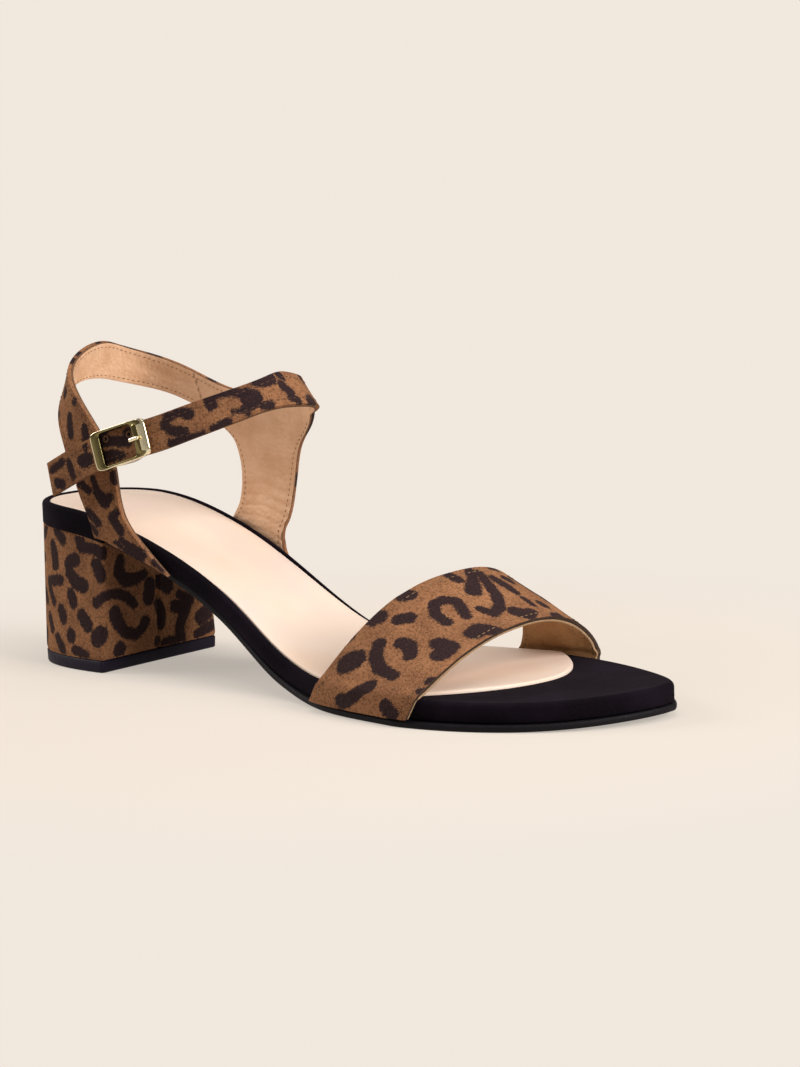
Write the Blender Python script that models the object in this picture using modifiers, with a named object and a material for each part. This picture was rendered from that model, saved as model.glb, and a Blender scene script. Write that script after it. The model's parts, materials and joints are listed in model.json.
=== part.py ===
"""Mid heel sandal for the right foot, standing empty on its sole.

Lengths run from the back of the footbed (x = 0) to the toe (+X), widths from the
footbed's middle line to the inner side of the foot (+Y), heights up from the floor.
Tables are in millimetres; every mesh is made in metres with the box's middle at the origin.
"""
import math

import bmesh
import bpy
import numpy as np

MM = 0.001

# Driving sizes of the whole shoe
FOOT_LENGTH = 238.0
SEAM_GAP = 0.3
BOX_MIDDLE_X = 119.29
BOX_MIDDLE_Y = -1.25

# Footbed plan: half width to the outer and inner side, from the heel to the ball
PLAN_COLUMNS = ("x", "outer", "inner")
PLAN_SECTIONS = (
    (0.0, 24.6, 24.6),
    (30.0, 24.6, 24.6),
    (60.0, 24.1, 23.1),
    (90.0, 23.6, 21.0),
    (120.0, 28.4, 24.6),
    (150.0, 38.0, 34.9),
    (175.0, 41.9, 39.4),
)
HEEL_ROUND = 27.0
BALL_X = 175.0
TOE_TIP_Y = 7.8
TOE_POWER = {-1: 1.8, 1: 2.0}
TOE_FULLNESS = {-1: 0.53, 1: 0.74}

# Footbed profile: height of its top edge
PROFILE_COLUMNS = ("x", "rim")
PROFILE_SECTIONS = (
    (0.0, 53.6),
    (30.0, 52.2),
    (60.0, 44.6),
    (90.0, 30.6),
    (120.0, 12.8),
    (150.0, 8.3),
    (175.0, 8.2),
    (200.0, 8.2),
    (222.0, 8.8),
    (240.0, 10.4),
)
RIM_ROUND = 1.6
FOOTBED_THICKNESS = 5.8
FOOTBED_SEAT_THICKNESS = 7.8
RECESS_INSET = 2.0
FOOTBED_LEVEL_COLUMNS = ("inset", "part", "rise", "sunk")
FOOTBED_LEVELS = (
    (0.4, 0.0, 0.0, 0.0),
    (0.0, 0.0, 0.5, 0.0),
    (0.0, 1.0, -RIM_ROUND, 0.0),
    (0.3 * RIM_ROUND, 1.0, -0.3 * RIM_ROUND, 0.0),
    (RIM_ROUND, 1.0, 0.0, 0.0),
    (RECESS_INSET, 1.0, 0.0, 1.0),
)
# Recess for the sock: depth below the rim, running out at the ball
RECESS_COLUMNS = ("x", "depth")
RECESS_SECTIONS = ((0.0, 1.6), (75.0, 1.6), (100.0, 1.0), (130.0, 0.4), (160.0, 0.0), (240.0, 0.0))
SOLE_STATIONS = 44
TIP_TRIM = 0.3
SLOPE_STEP = 0.5

# Sock: smooth leather sheet inside a narrow border, ending in an arc behind the toes
SOCK_BORDER = 2.5
SOCK_THICKNESS = 0.8
SOCK_FRONT_X = 199.5
SOCK_FRONT_Y = 3.0
SOCK_FRONT_HALF = {-1: 40.0, 1: 33.0}
SOCK_FRONT_DEPTH = 20.0
SOCK_LEVEL_COLUMNS = ("inset", "rise")
SOCK_LEVELS = ((0.0, 0.0), (0.0, 0.5), (0.4, SOCK_THICKNESS))

# Outsole: thin sheet from the heel breast to the toe, wider than the footbed at the ball
OUTSOLE_THICKNESS = 2.0
OUTSOLE_LEVEL_COLUMNS = ("inset", "part")
OUTSOLE_LEVELS = ((0.3, 0.0), (0.0, 0.15), (0.0, 0.85), (0.3, 1.0))
OUTSOLE_COLUMNS = ("x", "beyond")
OUTSOLE_EDGE = ((42.0, -1.2), (90.0, -0.6), (135.0, 1.2), (160.0, 1.6), (215.0, 1.4), (240.0, 0.5))

# Heel: covered block with a flat breast, on a black top piece
BREAST_X = 42.3
SEAT_END_X = BREAST_X - 0.8
SEAT_STEP = 0.1
HEEL_TOP_HALF = 24.2
HEEL_BASE_HALF = 27.4
HEEL_TOP_BACK = 0.6
HEEL_BASE_BACK = 1.6
HEEL_SQUARE = 0.76
TOP_PIECE_HEIGHT = 4.1
TOP_PIECE_LEVEL_COLUMNS = ("inset", "height")
TOP_PIECE_LEVELS = ((0.5, 0.0), (0.2, 0.4), (0.0, TOP_PIECE_HEIGHT))
HEEL_POINTS = 36
HEEL_LEVELS = 7

# Straps: suede and lining in one wall
STRAP_WALL = 2.2
WELD = 0.01
SIDE_OFFSET = SEAM_GAP + STRAP_WALL / 2

# Vamp strap: arches of its rear and front edge
VAMP_COLUMNS = ("outer_x", "inner_x", "crown", "bow", "square", "steep", "skew")
VAMP_EDGES = (
    (142.6, 160.0, 29.2, 13.0, 0.78, 1.42, 0.24),
    (183.5, 189.5, 16.0, 3.8, 0.88, 1.65, 0.45),
)
VAMP_ACROSS = 44
VAMP_ALONG = 8
VAMP_FOOT_STEPS = 3
VAMP_FOOT_SLANT = 3.0
VAMP_HUG = 1.0

# Wall of the ankle: plan path of the quarters and straps at one height, and its lean
WALL_HEIGHT = 85.0
WALL_COLUMNS = ("x", "y", "lean")
WALL_PATH = (
    (80.0, -24.6, 1.0),
    (60.0, -25.7, 1.0),
    (45.0, -26.0, 2.0),
    (32.0, -24.6, 6.0),
    (22.3, -19.8, 16.0),
    (15.0, -11.0, 22.0),
    (12.2, 0.0, 23.0),
    (14.4, 11.0, 20.0),
    (21.5, 19.0, 13.0),
    (33.0, 22.2, 8.0),
    (50.0, 22.8, 5.0),
    (70.0, 22.4, 4.0),
    (84.0, 21.6, 8.0),
    (95.0, 18.4, 23.0),
    (104.0, 10.4, 36.0),
    (107.8, 0.0, 39.0),
    (105.4, -10.0, 36.0),
    (98.0, -18.0, 26.0),
    (85.0, -25.0, 13.0),
    (70.0, -29.4, 6.0),
    (57.0, -31.4, 3.0),
    (40.0, -32.0, 2.0),
    (20.0, -31.4, 2.0),
)
BACK_ROW = 6

# Strap pattern laid flat: distance from the back seam and height of both edges, section by section
BAND_COLUMNS = ("lower_s", "lower_z", "upper_s", "upper_z")
OUTER_QUARTER = (
    (-42.8, 42.0, -73.5, 32.0),
    (-40.6, 49.5, -63.0, 42.0),
    (-37.6, 57.5, -55.6, 51.5),
    (-34.6, 65.0, -53.6, 61.5),
    (-31.0, 73.0, -52.0, 70.5),
    (-25.5, 80.3, -46.5, 78.6),
    (-18.5, 86.8, -39.5, 86.4),
)
HEEL_STRAP = (
    (-9.5, 91.3, -28.5, 95.6),
    (0.5, 92.3, -13.0, 101.8),
    (9.0, 91.4, 4.0, 104.0),
    (19.0, 89.0, 18.0, 101.2),
    (32.0, 85.9, 33.0, 96.9),
    (43.0, 82.0, 46.0, 92.1),
)
INNER_QUARTER_TOP = (
    (54.0, 78.6, 58.0, 88.2),
    (66.0, 77.0, 69.0, 87.2),
    (77.0, 76.8, 78.0, 88.0),
    (86.0, 78.2, 86.0, 90.0),
    (95.0, 81.4, 94.0, 92.2),
)
ANKLE_STRAP = (
    (106.5, 84.8, 105.0, 94.6),
    (118.0, 86.4, 117.0, 96.2),
    (129.0, 86.4, 128.5, 95.8),
    (138.0, 84.2, 138.5, 93.8),
    (147.0, 81.0, 148.0, 91.2),
    (158.0, 77.0, 159.0, 87.8),
    (168.0, 73.6, 169.5, 84.4),
    (180.0, 70.4, 182.0, 81.0),
    (195.0, 65.2, 197.5, 75.6),
    (211.0, 58.0, 213.5, 68.3),
)
BAND_STEPS = 4
BAND_ACROSS = 6
SEAT_ROWS = 8

# Inner quarter below the strap: rear and front edge down to the footbed's side
LEG_COLUMNS = ("rear_s", "rear_z", "front_s", "front_z")
INNER_QUARTER_LEG = (
    (55.4, 74.4, 91.0, 76.4),
    (59.6, 69.2, 86.6, 70.8),
    (60.8, 63.2, 84.0, 63.4),
    (60.6, 57.0, 82.2, 55.0),
    (59.2, 50.5, 80.4, 46.5),
    (56.2, 44.5, 78.0, 38.0),
    (53.4, 38.5, 83.0, 27.2),
)
LEG_STEPS = 2
HUG_LOW = 2.0
HUG_HIGH = 26.0
OUTER_HUG = (-80.0, -36.0)
INNER_HUG = (36.0, 100.0)

# Buckle on the outer side: two deep rails, end bars over the strap, centre bar under it
BUCKLE_S = 180.0
BUCKLE_PROBE = 4.0
BUCKLE_HALF_LENGTH = 11.2
BUCKLE_HALF_WIDTH = 6.1
RAIL_THICKNESS = 1.0
RAIL_POINTS = 13
JOIN_INSET = 0.2
BAR_HEIGHT = 1.6
END_BAR_WIDTH = 3.6
FRONT_BAR_WIDTH = 5.6
CENTRE_BAR = 1.4
PRONG_RADIUS = 0.6
PRONG_POINTS = 9
PRONG_START = 3.0
PRONG_CLIMB_STOP = 0.4
PRONG_END_INSET = 2.6
TAB_ON_QUARTER_S = -46.0
TAB_ON_QUARTER_Z = 70.5
TAB_WIDTH = 8.0
TAB_THICKNESS = 0.8
TAB_ROUND = 0.2

COLOURS = {
    "black_suede": ((0.009, 0.006, 0.010), 0.95, 0.0),
    "black_rubber": ((0.012, 0.010, 0.014), 0.60, 0.0),
    "beige_leather": ((0.92, 0.74, 0.57), 0.50, 0.0),
    "spotted_suede": ((0.27, 0.12, 0.04), 0.92, 0.0),
    "gold_metal": ((0.72, 0.60, 0.34), 0.22, 1.0),
}


def column(table, names, name):
    """One named column of a table as an array."""
    return np.array([row[names.index(name)] for row in table], float)


def named_rows(table, names):
    """Rows of a table as dictionaries of its named columns."""
    return [dict(zip(names, row)) for row in table]


def flat_curve(knots, values):
    """Smooth curve through the knots that never overshoots them."""
    step = np.diff(knots)
    rise = np.diff(values) / step
    slope = np.zeros(len(knots))
    same = rise[:-1] * rise[1:] > 0
    mean = 2 * rise[:-1] * rise[1:] / np.where(same, rise[:-1] + rise[1:], 1.0)
    slope[1:-1] = np.where(same, mean, 0.0)
    slope[0], slope[-1] = rise[0], rise[-1]

    def curve(at):
        place = np.clip(at, knots[0], knots[-1])
        i = np.clip(np.searchsorted(knots, place) - 1, 0, len(step) - 1)
        t = (place - knots[i]) / step[i]
        start = values[i] * (1 + 2 * t) * (1 - t) ** 2 + slope[i] * step[i] * t * (1 - t) ** 2
        end = values[i + 1] * t * t * (3 - 2 * t) - slope[i + 1] * step[i] * t * t * (1 - t)
        return start + end
    return curve


def even_curve(knots, values):
    """Natural cubic curve through the knots, for paths with an even bend."""
    count = len(knots)
    step = np.diff(knots)
    system = np.eye(count)
    right = np.zeros(count)
    rise = np.diff(values) / step
    for i in range(1, count - 1):
        system[i, i - 1:i + 2] = step[i - 1], 2 * (step[i - 1] + step[i]), step[i]
        right[i] = 6 * (rise[i] - rise[i - 1])
    bend = np.linalg.solve(system, right)

    def curve(at):
        i = np.clip(np.searchsorted(knots, at) - 1, 0, count - 2)
        h = step[i]
        a = (knots[i + 1] - at) / h
        b = (at - knots[i]) / h
        line = a * values[i] + b * values[i + 1]
        return line + ((a ** 3 - a) * bend[i] + (b ** 3 - b) * bend[i + 1]) * h * h / 6
    return curve


PLAN_X = column(PLAN_SECTIONS, PLAN_COLUMNS, "x")
outer_half = flat_curve(PLAN_X, column(PLAN_SECTIONS, PLAN_COLUMNS, "outer"))
inner_half = flat_curve(PLAN_X, column(PLAN_SECTIONS, PLAN_COLUMNS, "inner"))
rim_height = even_curve(
    column(PROFILE_SECTIONS, PROFILE_COLUMNS, "x"), column(PROFILE_SECTIONS, PROFILE_COLUMNS, "rim"))
recess_depth = flat_curve(
    column(RECESS_SECTIONS, RECESS_COLUMNS, "x"), column(RECESS_SECTIONS, RECESS_COLUMNS, "depth"))
outsole_beyond = flat_curve(
    column(OUTSOLE_EDGE, OUTSOLE_COLUMNS, "x"), column(OUTSOLE_EDGE, OUTSOLE_COLUMNS, "beyond"))
BALL_LIFT = rim_height(BALL_X) - FOOTBED_THICKNESS - SEAM_GAP - OUTSOLE_THICKNESS


def sole_edge(x, side):
    """Sideways place of the footbed's edge: side -1 is the outer half, +1 the inner."""
    half = inner_half(x) if side > 0 else outer_half(x)
    if x < HEEL_ROUND:
        half *= math.sqrt(max(0.0, 1 - (1 - x / HEEL_ROUND) ** 2))
    if x > BALL_X:
        part = min(1.0, (x - BALL_X) / (FOOT_LENGTH - BALL_X))
        tip = side * TOE_TIP_Y
        half = tip + (half - tip) * (1 - part ** TOE_POWER[side]) ** TOE_FULLNESS[side]
    return side * half


def slope_factor(x):
    """Vertical depth of a layer of unit thickness that follows the profile."""
    rise = (rim_height(x + SLOPE_STEP) - rim_height(x - SLOPE_STEP)) / (2 * SLOPE_STEP)
    return math.sqrt(1 + rise * rise)


def footbed_base(x):
    """Height of the footbed's underside, thicker over the heel seat."""
    thickness = FOOTBED_SEAT_THICKNESS if x < SEAT_END_X else FOOTBED_THICKNESS
    return rim_height(x) - thickness * slope_factor(x)


def outsole_base(x):
    """Height of the outsole's underside, flat on the floor under the ball."""
    depth = (FOOTBED_THICKNESS + SEAM_GAP + OUTSOLE_THICKNESS) * slope_factor(x)
    return max(0.0, rim_height(x) - depth - BALL_LIFT)


def stations(start, end, count, round_start=True):
    """Places along the foot, closer together at the round ends."""
    first = 0.0 if round_start else math.pi / 2
    angle = np.linspace(first, math.pi, count)
    part = 0.5 - 0.5 * np.cos(angle)
    part = (part - part[0]) / (part[-1] - part[0])
    return start + (end - start) * part


def plan_ring(places, edge, inset, flat_back=False):
    """Closed plan outline: outer side heel to toe, inner side back, moved in by inset of x."""
    outer = [(x, edge(x, -1)) for x in places]
    inner = [(x, edge(x, 1)) for x in reversed(places)]
    ring = np.array(outer + inner)
    ahead = np.roll(ring, -1, axis=0) - np.roll(ring, 1, axis=0)
    length = np.linalg.norm(ahead, axis=1)[:, None]
    ahead = ahead / np.maximum(length, 1e-9)
    inward = np.stack([-ahead[:, 1], ahead[:, 0]], axis=1)
    if flat_back:
        inward[0], inward[-1] = (0.0, 1.0), (0.0, -1.0)
    depth = np.array([inset(x) if callable(inset) else inset for x in ring[:, 0]])
    return ring + inward * depth[:, None]


def to_metres(point):
    """Shoe place in millimetres to the part's frame in metres."""
    x, y, z = point
    return ((x - BOX_MIDDLE_X) * MM, (y - BOX_MIDDLE_Y) * MM, z * MM)


def finish(name, bm, material, smooth_angle=40.0):
    """Turn a bmesh into a named object with its material."""
    bm.normal_update()
    bmesh.ops.recalc_face_normals(bm, faces=bm.faces)
    mesh = bpy.data.meshes.new(name)
    bm.to_mesh(mesh)
    bm.free()
    mesh.shade_smooth()
    mesh.set_sharp_from_angle(angle=math.radians(smooth_angle))
    part = bpy.data.objects.new(name, mesh)
    mesh.materials.append(MATERIALS[material])
    SANDAL.objects.link(part)
    return part


def stack_of_rings(name, rings, material):
    """Loft closed rings from bottom to top; both caps are strips between facing points."""
    bm = bmesh.new()
    grid = [[bm.verts.new(to_metres(point)) for point in ring] for ring in rings]
    count = len(grid[0])
    for low, high in zip(grid[:-1], grid[1:]):
        for i in range(count):
            j = (i + 1) % count
            bm.faces.new((low[i], low[j], high[j], high[i]))
    for cap in (grid[0], grid[-1]):
        for i in range(count // 2 - 1):
            corners = (cap[i], cap[i + 1], cap[count - 2 - i], cap[count - 1 - i])
            bm.faces.new(corners)
    return finish(name, bm, material)


def make_footbed():
    """Board wrapped in suede, with a round top edge round the sock's recess."""
    places = stations(TIP_TRIM, FOOT_LENGTH - TIP_TRIM, SOLE_STATIONS)
    step = (SEAT_END_X - SEAT_STEP / 2, SEAT_END_X + SEAT_STEP / 2)
    places = np.sort(np.append(places, step))
    rings = []
    for level in named_rows(FOOTBED_LEVELS, FOOTBED_LEVEL_COLUMNS):
        ring = []
        for x, y in plan_ring(places, sole_edge, level["inset"]):
            depth = rim_height(x) - footbed_base(x)
            sunk = recess_depth(x) * level["sunk"]
            ring.append((x, y, footbed_base(x) + depth * level["part"] + level["rise"] - sunk))
        rings.append(ring)
    return stack_of_rings("footbed", rings, "black_suede")


def sock_edge(x, side):
    """Sock plan: inside the footbed's edge by the border, closed by a heel round and the front arc."""
    reach = max(0.0, (SOCK_FRONT_X - x) / SOCK_FRONT_DEPTH)
    arc = SOCK_FRONT_Y + side * SOCK_FRONT_HALF[side] * math.sqrt(reach)
    inside = sole_edge(x, side) - side * SOCK_BORDER
    if x < HEEL_ROUND:
        half = (inner_half(x) if side > 0 else outer_half(x)) - SOCK_BORDER
        short = 1 - (x - SOCK_BORDER) / (HEEL_ROUND - SOCK_BORDER)
        inside = side * half * math.sqrt(max(0.0, 1 - short ** 2))
    return min(inside, arc) if side > 0 else max(inside, arc)


def make_insole_sock():
    """Thin smooth sheet lying in the footbed's recess."""
    places = stations(SOCK_BORDER + TIP_TRIM, SOCK_FRONT_X - WELD, SOLE_STATIONS)
    rings = []
    for level in named_rows(SOCK_LEVELS, SOCK_LEVEL_COLUMNS):
        plan = plan_ring(places, sock_edge, level["inset"])
        rings.append([(x, y, rim_height(x) - recess_depth(x) + SEAM_GAP + level["rise"]) for x, y in plan])
    return stack_of_rings("insole_sock", rings, "beige_leather")


def make_outsole():
    """Thin sheet under the footbed from the heel breast to the toe."""
    places = stations(BREAST_X, FOOT_LENGTH - TIP_TRIM, SOLE_STATIONS, round_start=False)
    rings = []
    for level in named_rows(OUTSOLE_LEVELS, OUTSOLE_LEVEL_COLUMNS):
        ring = []
        plan = plan_ring(places, sole_edge, lambda x: level["inset"] - outsole_beyond(x), flat_back=True)
        for x, y in plan:
            depth = footbed_base(x) - SEAM_GAP - outsole_base(x)
            ring.append((x, y, outsole_base(x) + depth * level["part"]))
        rings.append(ring)
    return stack_of_rings("outsole", rings, "black_rubber")


def heel_ring(level, inset=0.0):
    """Plan of the heel at a level from 0, its base, to 1, under the seat."""
    half = HEEL_BASE_HALF + (HEEL_TOP_HALF - HEEL_BASE_HALF) * level - inset
    back = HEEL_BASE_BACK + (HEEL_TOP_BACK - HEEL_BASE_BACK) * level + inset
    points = []
    for angle in np.linspace(0, math.pi / 2, HEEL_POINTS // 2):
        x = BREAST_X - inset - (BREAST_X - inset - back) * math.cos(angle) ** HEEL_SQUARE
        y = half * math.sin(angle) ** HEEL_SQUARE
        points.append((x, y))
    outer = [(x, -y) for x, y in points[1:]]
    inner = [(x, y) for x, y in reversed(points[1:])]
    return outer + inner


def make_heel_block():
    """Covered block from the top piece up to the footbed's seat."""
    rings = []
    base = TOP_PIECE_HEIGHT + SEAM_GAP
    for level in np.linspace(0, 1, HEEL_LEVELS):
        ring = []
        for x, y in heel_ring(level):
            top = footbed_base(min(x, SEAT_END_X - SEAT_STEP)) - SEAM_GAP
            ring.append((x, y, base + (top - base) * level))
        rings.append(ring)
    return stack_of_rings("heel_block", rings, "spotted_suede")


def make_heel_top_piece():
    """Flat black top piece that stands on the floor."""
    rings = []
    for level in named_rows(TOP_PIECE_LEVELS, TOP_PIECE_LEVEL_COLUMNS):
        rings.append([(x, y, level["height"]) for x, y in heel_ring(0.0, level["inset"])])
    return stack_of_rings("heel_top_piece", rings, "black_rubber")


def shell(name, grids, material):
    """Open sheets of points, welded where they share an edge, given the strap's wall."""
    bm = bmesh.new()
    for grid in grids:
        rows = [[bm.verts.new(to_metres(point)) for point in row] for row in grid]
        for low, high in zip(rows[:-1], rows[1:]):
            for i in range(len(low) - 1):
                bm.faces.new((low[i], low[i + 1], high[i + 1], high[i]))
    bmesh.ops.remove_doubles(bm, verts=bm.verts, dist=WELD * MM)
    part = finish(name, bm, material, smooth_angle=60.0)
    wall = part.modifiers.new("wall", "SOLIDIFY")
    wall.thickness = STRAP_WALL * MM
    wall.offset = 0.0
    wall.use_even_offset = True
    return part


def vamp_arch(edge, across):
    """Point on the vamp edge's arch, from the outer foot (0) to the inner foot (1)."""
    cosine = math.cos(math.pi * across)
    sine = math.sin(math.pi * across)
    part = 0.5 - 0.5 * math.copysign(abs(cosine) ** edge["square"], cosine)
    outer_y = sole_edge(edge["outer_x"], -1) - SIDE_OFFSET
    inner_y = sole_edge(edge["inner_x"], 1) + SIDE_OFFSET
    x = edge["outer_x"] + (edge["inner_x"] - edge["outer_x"]) * part + edge["bow"] * sine
    y = outer_y + (inner_y - outer_y) * part
    z = rim_height(x) + edge["crown"] * sine ** edge["steep"] * (1 + edge["skew"] * (part - 0.5))
    return np.array((x, y, z))


def vamp_foot(top, slant):
    """Steps of a strap foot from the outsole up to the arch, leaning back by slant at its base."""
    low = footbed_base(top[0]) + SEAM_GAP / 2
    steps = []
    for k in range(VAMP_FOOT_STEPS):
        part = k / VAMP_FOOT_STEPS
        steps.append(np.array((top[0] - slant * (1 - part), top[1], low + (top[2] - low) * part)))
    return steps


def make_vamp_strap():
    """Broad toe strap: feet beside the footbed, an arch between its two edges."""
    grid = []
    rear, front = named_rows(VAMP_EDGES, VAMP_COLUMNS)
    for i in range(VAMP_ALONG + 1):
        along = i / VAMP_ALONG
        edge = {name: rear[name] + (front[name] - rear[name]) * along for name in VAMP_COLUMNS}
        arch = [vamp_arch(edge, j / VAMP_ACROSS) for j in range(VAMP_ACROSS + 1)]
        outer_foot = vamp_foot(arch[0], VAMP_FOOT_SLANT)
        inner_foot = vamp_foot(arch[-1], 0.0)
        grid.append(outer_foot + arch + inner_foot[::-1])
    hug_footbed(grid)
    return shell("vamp_strap", [grid], "spotted_suede")


def hug_footbed(grid):
    """Push low points of a strap out to the footbed's side where they would cut into it."""
    for row in grid:
        for point in row:
            side = 1 if point[1] > 0 else -1
            clear = abs(sole_edge(point[0], side)) + SIDE_OFFSET
            if point[2] < rim_height(point[0]) + VAMP_HUG:
                point[1] = side * clear


WALL_XY = np.array([row[:2] for row in WALL_PATH])
WALL_STEP = np.linalg.norm(np.diff(WALL_XY, axis=0), axis=1)
WALL_S = np.concatenate([[0.0], np.cumsum(WALL_STEP)])
WALL_S = WALL_S - WALL_S[BACK_ROW]
wall_x = even_curve(WALL_S, WALL_XY[:, 0])
wall_y = even_curve(WALL_S, WALL_XY[:, 1])
wall_lean = even_curve(WALL_S, column(WALL_PATH, WALL_COLUMNS, "lean"))


def wall_point(s, z, out=0.0):
    """Place on the ankle wall at a distance along it and a height, moved outward by out."""
    ahead = np.array((wall_x(s + 0.5) - wall_x(s - 0.5), wall_y(s + 0.5) - wall_y(s - 0.5)))
    ahead /= np.linalg.norm(ahead)
    outward = np.array((-ahead[1], ahead[0]))
    shift = (WALL_HEIGHT - z) * math.tan(math.radians(wall_lean(s))) + out
    x = wall_x(s) + outward[0] * shift
    y = wall_y(s) + outward[1] * shift
    side = 1 if INNER_HUG[0] < s < INNER_HUG[1] else -1
    if side == 1 or OUTER_HUG[0] < s < OUTER_HUG[1]:
        above = (z - rim_height(x) - HUG_LOW) / (HUG_HIGH - HUG_LOW)
        hug = 1 - min(1.0, max(0.0, above))
        hug = hug * hug * (3 - 2 * hug)
        beside = sole_edge(x, side) + side * (SIDE_OFFSET + out)
        y += (beside - y) * hug
    return np.array((x, y, z))


def edge_rows(table, steps):
    """Pattern rows filled in between the table's sections."""
    table = np.array(table)
    knots = np.arange(len(table), dtype=float)
    curves = [even_curve(knots, table[:, k]) for k in range(table.shape[1])]
    places = np.linspace(0, len(table) - 1, (len(table) - 1) * steps + 1)
    return np.array([[curve(place) for curve in curves] for place in places])


def seat(rows, reach):
    """Bring a quarter's foot, rows[0], level with the footbed's underside, easing over reach rows."""
    for i, (x, y, z) in enumerate([tuple(point) for point in rows[0]]):
        shift = footbed_base(max(x, BREAST_X)) + SEAM_GAP / 2 - z
        for k in range(reach):
            rows[k][i][2] += shift * (1 - k / reach)


def make_quarter_strap():
    """Both quarters, the heel strap and the ankle strap as one wall on the last's shape."""
    band = edge_rows(OUTER_QUARTER + HEEL_STRAP + INNER_QUARTER_TOP + ANKLE_STRAP, BAND_STEPS)
    strap = []
    parts = np.linspace(0, 1, BAND_ACROSS + 1)
    for row in named_rows(band, BAND_COLUMNS):
        places = row["lower_s"] + (row["upper_s"] - row["lower_s"]) * parts
        heights = row["lower_z"] + (row["upper_z"] - row["lower_z"]) * parts
        strap.append([wall_point(s, z) for s, z in zip(places, heights)])
    seat(strap, SEAT_ROWS)
    first = (len(OUTER_QUARTER) + len(HEEL_STRAP) - 1) * BAND_STEPS
    last = (len(OUTER_QUARTER) + len(HEEL_STRAP) + len(INNER_QUARTER_TOP) - 1) * BAND_STEPS
    top = band[first:last + 1, :2]
    head = ((top[0][0], top[0][1], top[-1][0], top[-1][1]),)
    sides = edge_rows(head + INNER_QUARTER_LEG, LEG_STEPS)
    leg = [[wall_point(s, z) for s, z in top]]
    fan = (top[:, 0] - top[0, 0]) / (top[-1, 0] - top[0, 0])
    chord = top[0] + (top[-1] - top[0]) * fan[:, None]
    for k, row in enumerate(named_rows(sides[1:], LEG_COLUMNS), start=1):
        sag = 1 - k / (len(sides) - 1)
        start = np.array((row["rear_s"], row["rear_z"]))
        end = np.array((row["front_s"], row["front_z"]))
        line = start + (end - start) * fan[:, None] + (top - chord) * sag ** 2
        leg.append([wall_point(s, z) for s, z in line])
    seat(leg[::-1], SEAT_ROWS // 2)
    return shell("quarter_strap", [strap, leg], "spotted_suede")


def buckle_frame_axes():
    """Buckle place: middle on the strap, along it, across it and outward."""
    lower_s, lower_z, upper_s, upper_z = (column(ANKLE_STRAP, BAND_COLUMNS, name) for name in BAND_COLUMNS)
    height = even_curve((lower_s + upper_s) / 2, (lower_z + upper_z) / 2)
    front, rear = BUCKLE_S - BUCKLE_PROBE, BUCKLE_S + BUCKLE_PROBE
    level = height(BUCKLE_S)
    along = wall_point(front, height(front)) - wall_point(rear, height(rear))
    along /= np.linalg.norm(along)
    across = wall_point(BUCKLE_S, level + BUCKLE_PROBE) - wall_point(BUCKLE_S, level - BUCKLE_PROBE)
    across -= along * across.dot(along)
    across /= np.linalg.norm(across)
    return wall_point(BUCKLE_S, level), along, across, np.cross(along, across)


def add_box(bm, axes, centre, size):
    """Box in the buckle's own axes, with its centre and full size in millimetres."""
    for vert in bmesh.ops.create_cube(bm, size=1.0)["verts"]:
        vert.co = in_axes(axes, [vert.co[k] * size[k] + centre[k] for k in range(3)])


def in_axes(axes, local):
    """Place along, across and outward of the buckle, in the part's frame."""
    middle, along, across, outward = axes
    return to_metres(middle + along * local[0] + across * local[1] + outward * local[2])


def box_object(name, axes, centre, size, material, round_by=0.0):
    """Separate box object, its edges rounded."""
    bm = bmesh.new()
    add_box(bm, axes, centre, size)
    part = finish(name, bm, material, smooth_angle=60.0)
    if round_by:
        bevel = part.modifiers.new("round", "BEVEL")
        bevel.width = round_by * MM
        bevel.segments = 2
    return part


def rail_object(name, axes, across, top, bottom):
    """Side rail: level on top, bowed down to the centre bar below."""
    half = BUCKLE_HALF_LENGTH - JOIN_INSET
    shallow = top - BAR_HEIGHT + 2 * JOIN_INSET
    bow = np.linspace(-1, 1, RAIL_POINTS)
    outline = [(half * t, shallow + (bottom - shallow) * math.cos(t * math.pi / 2) ** 2) for t in bow]
    outline += [(half, top), (-half, top)]
    bm = bmesh.new()
    near = [bm.verts.new(in_axes(axes, (x, across - RAIL_THICKNESS / 2, z))) for x, z in outline]
    far = [bm.verts.new(in_axes(axes, (x, across + RAIL_THICKNESS / 2, z))) for x, z in outline]
    bm.faces.new(near)
    bm.faces.new(far[::-1])
    for i in range(len(outline)):
        j = (i + 1) % len(outline)
        bm.faces.new((near[i], far[i], far[j], near[j]))
    return finish(name, bm, "gold_metal", smooth_angle=60.0)


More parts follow.
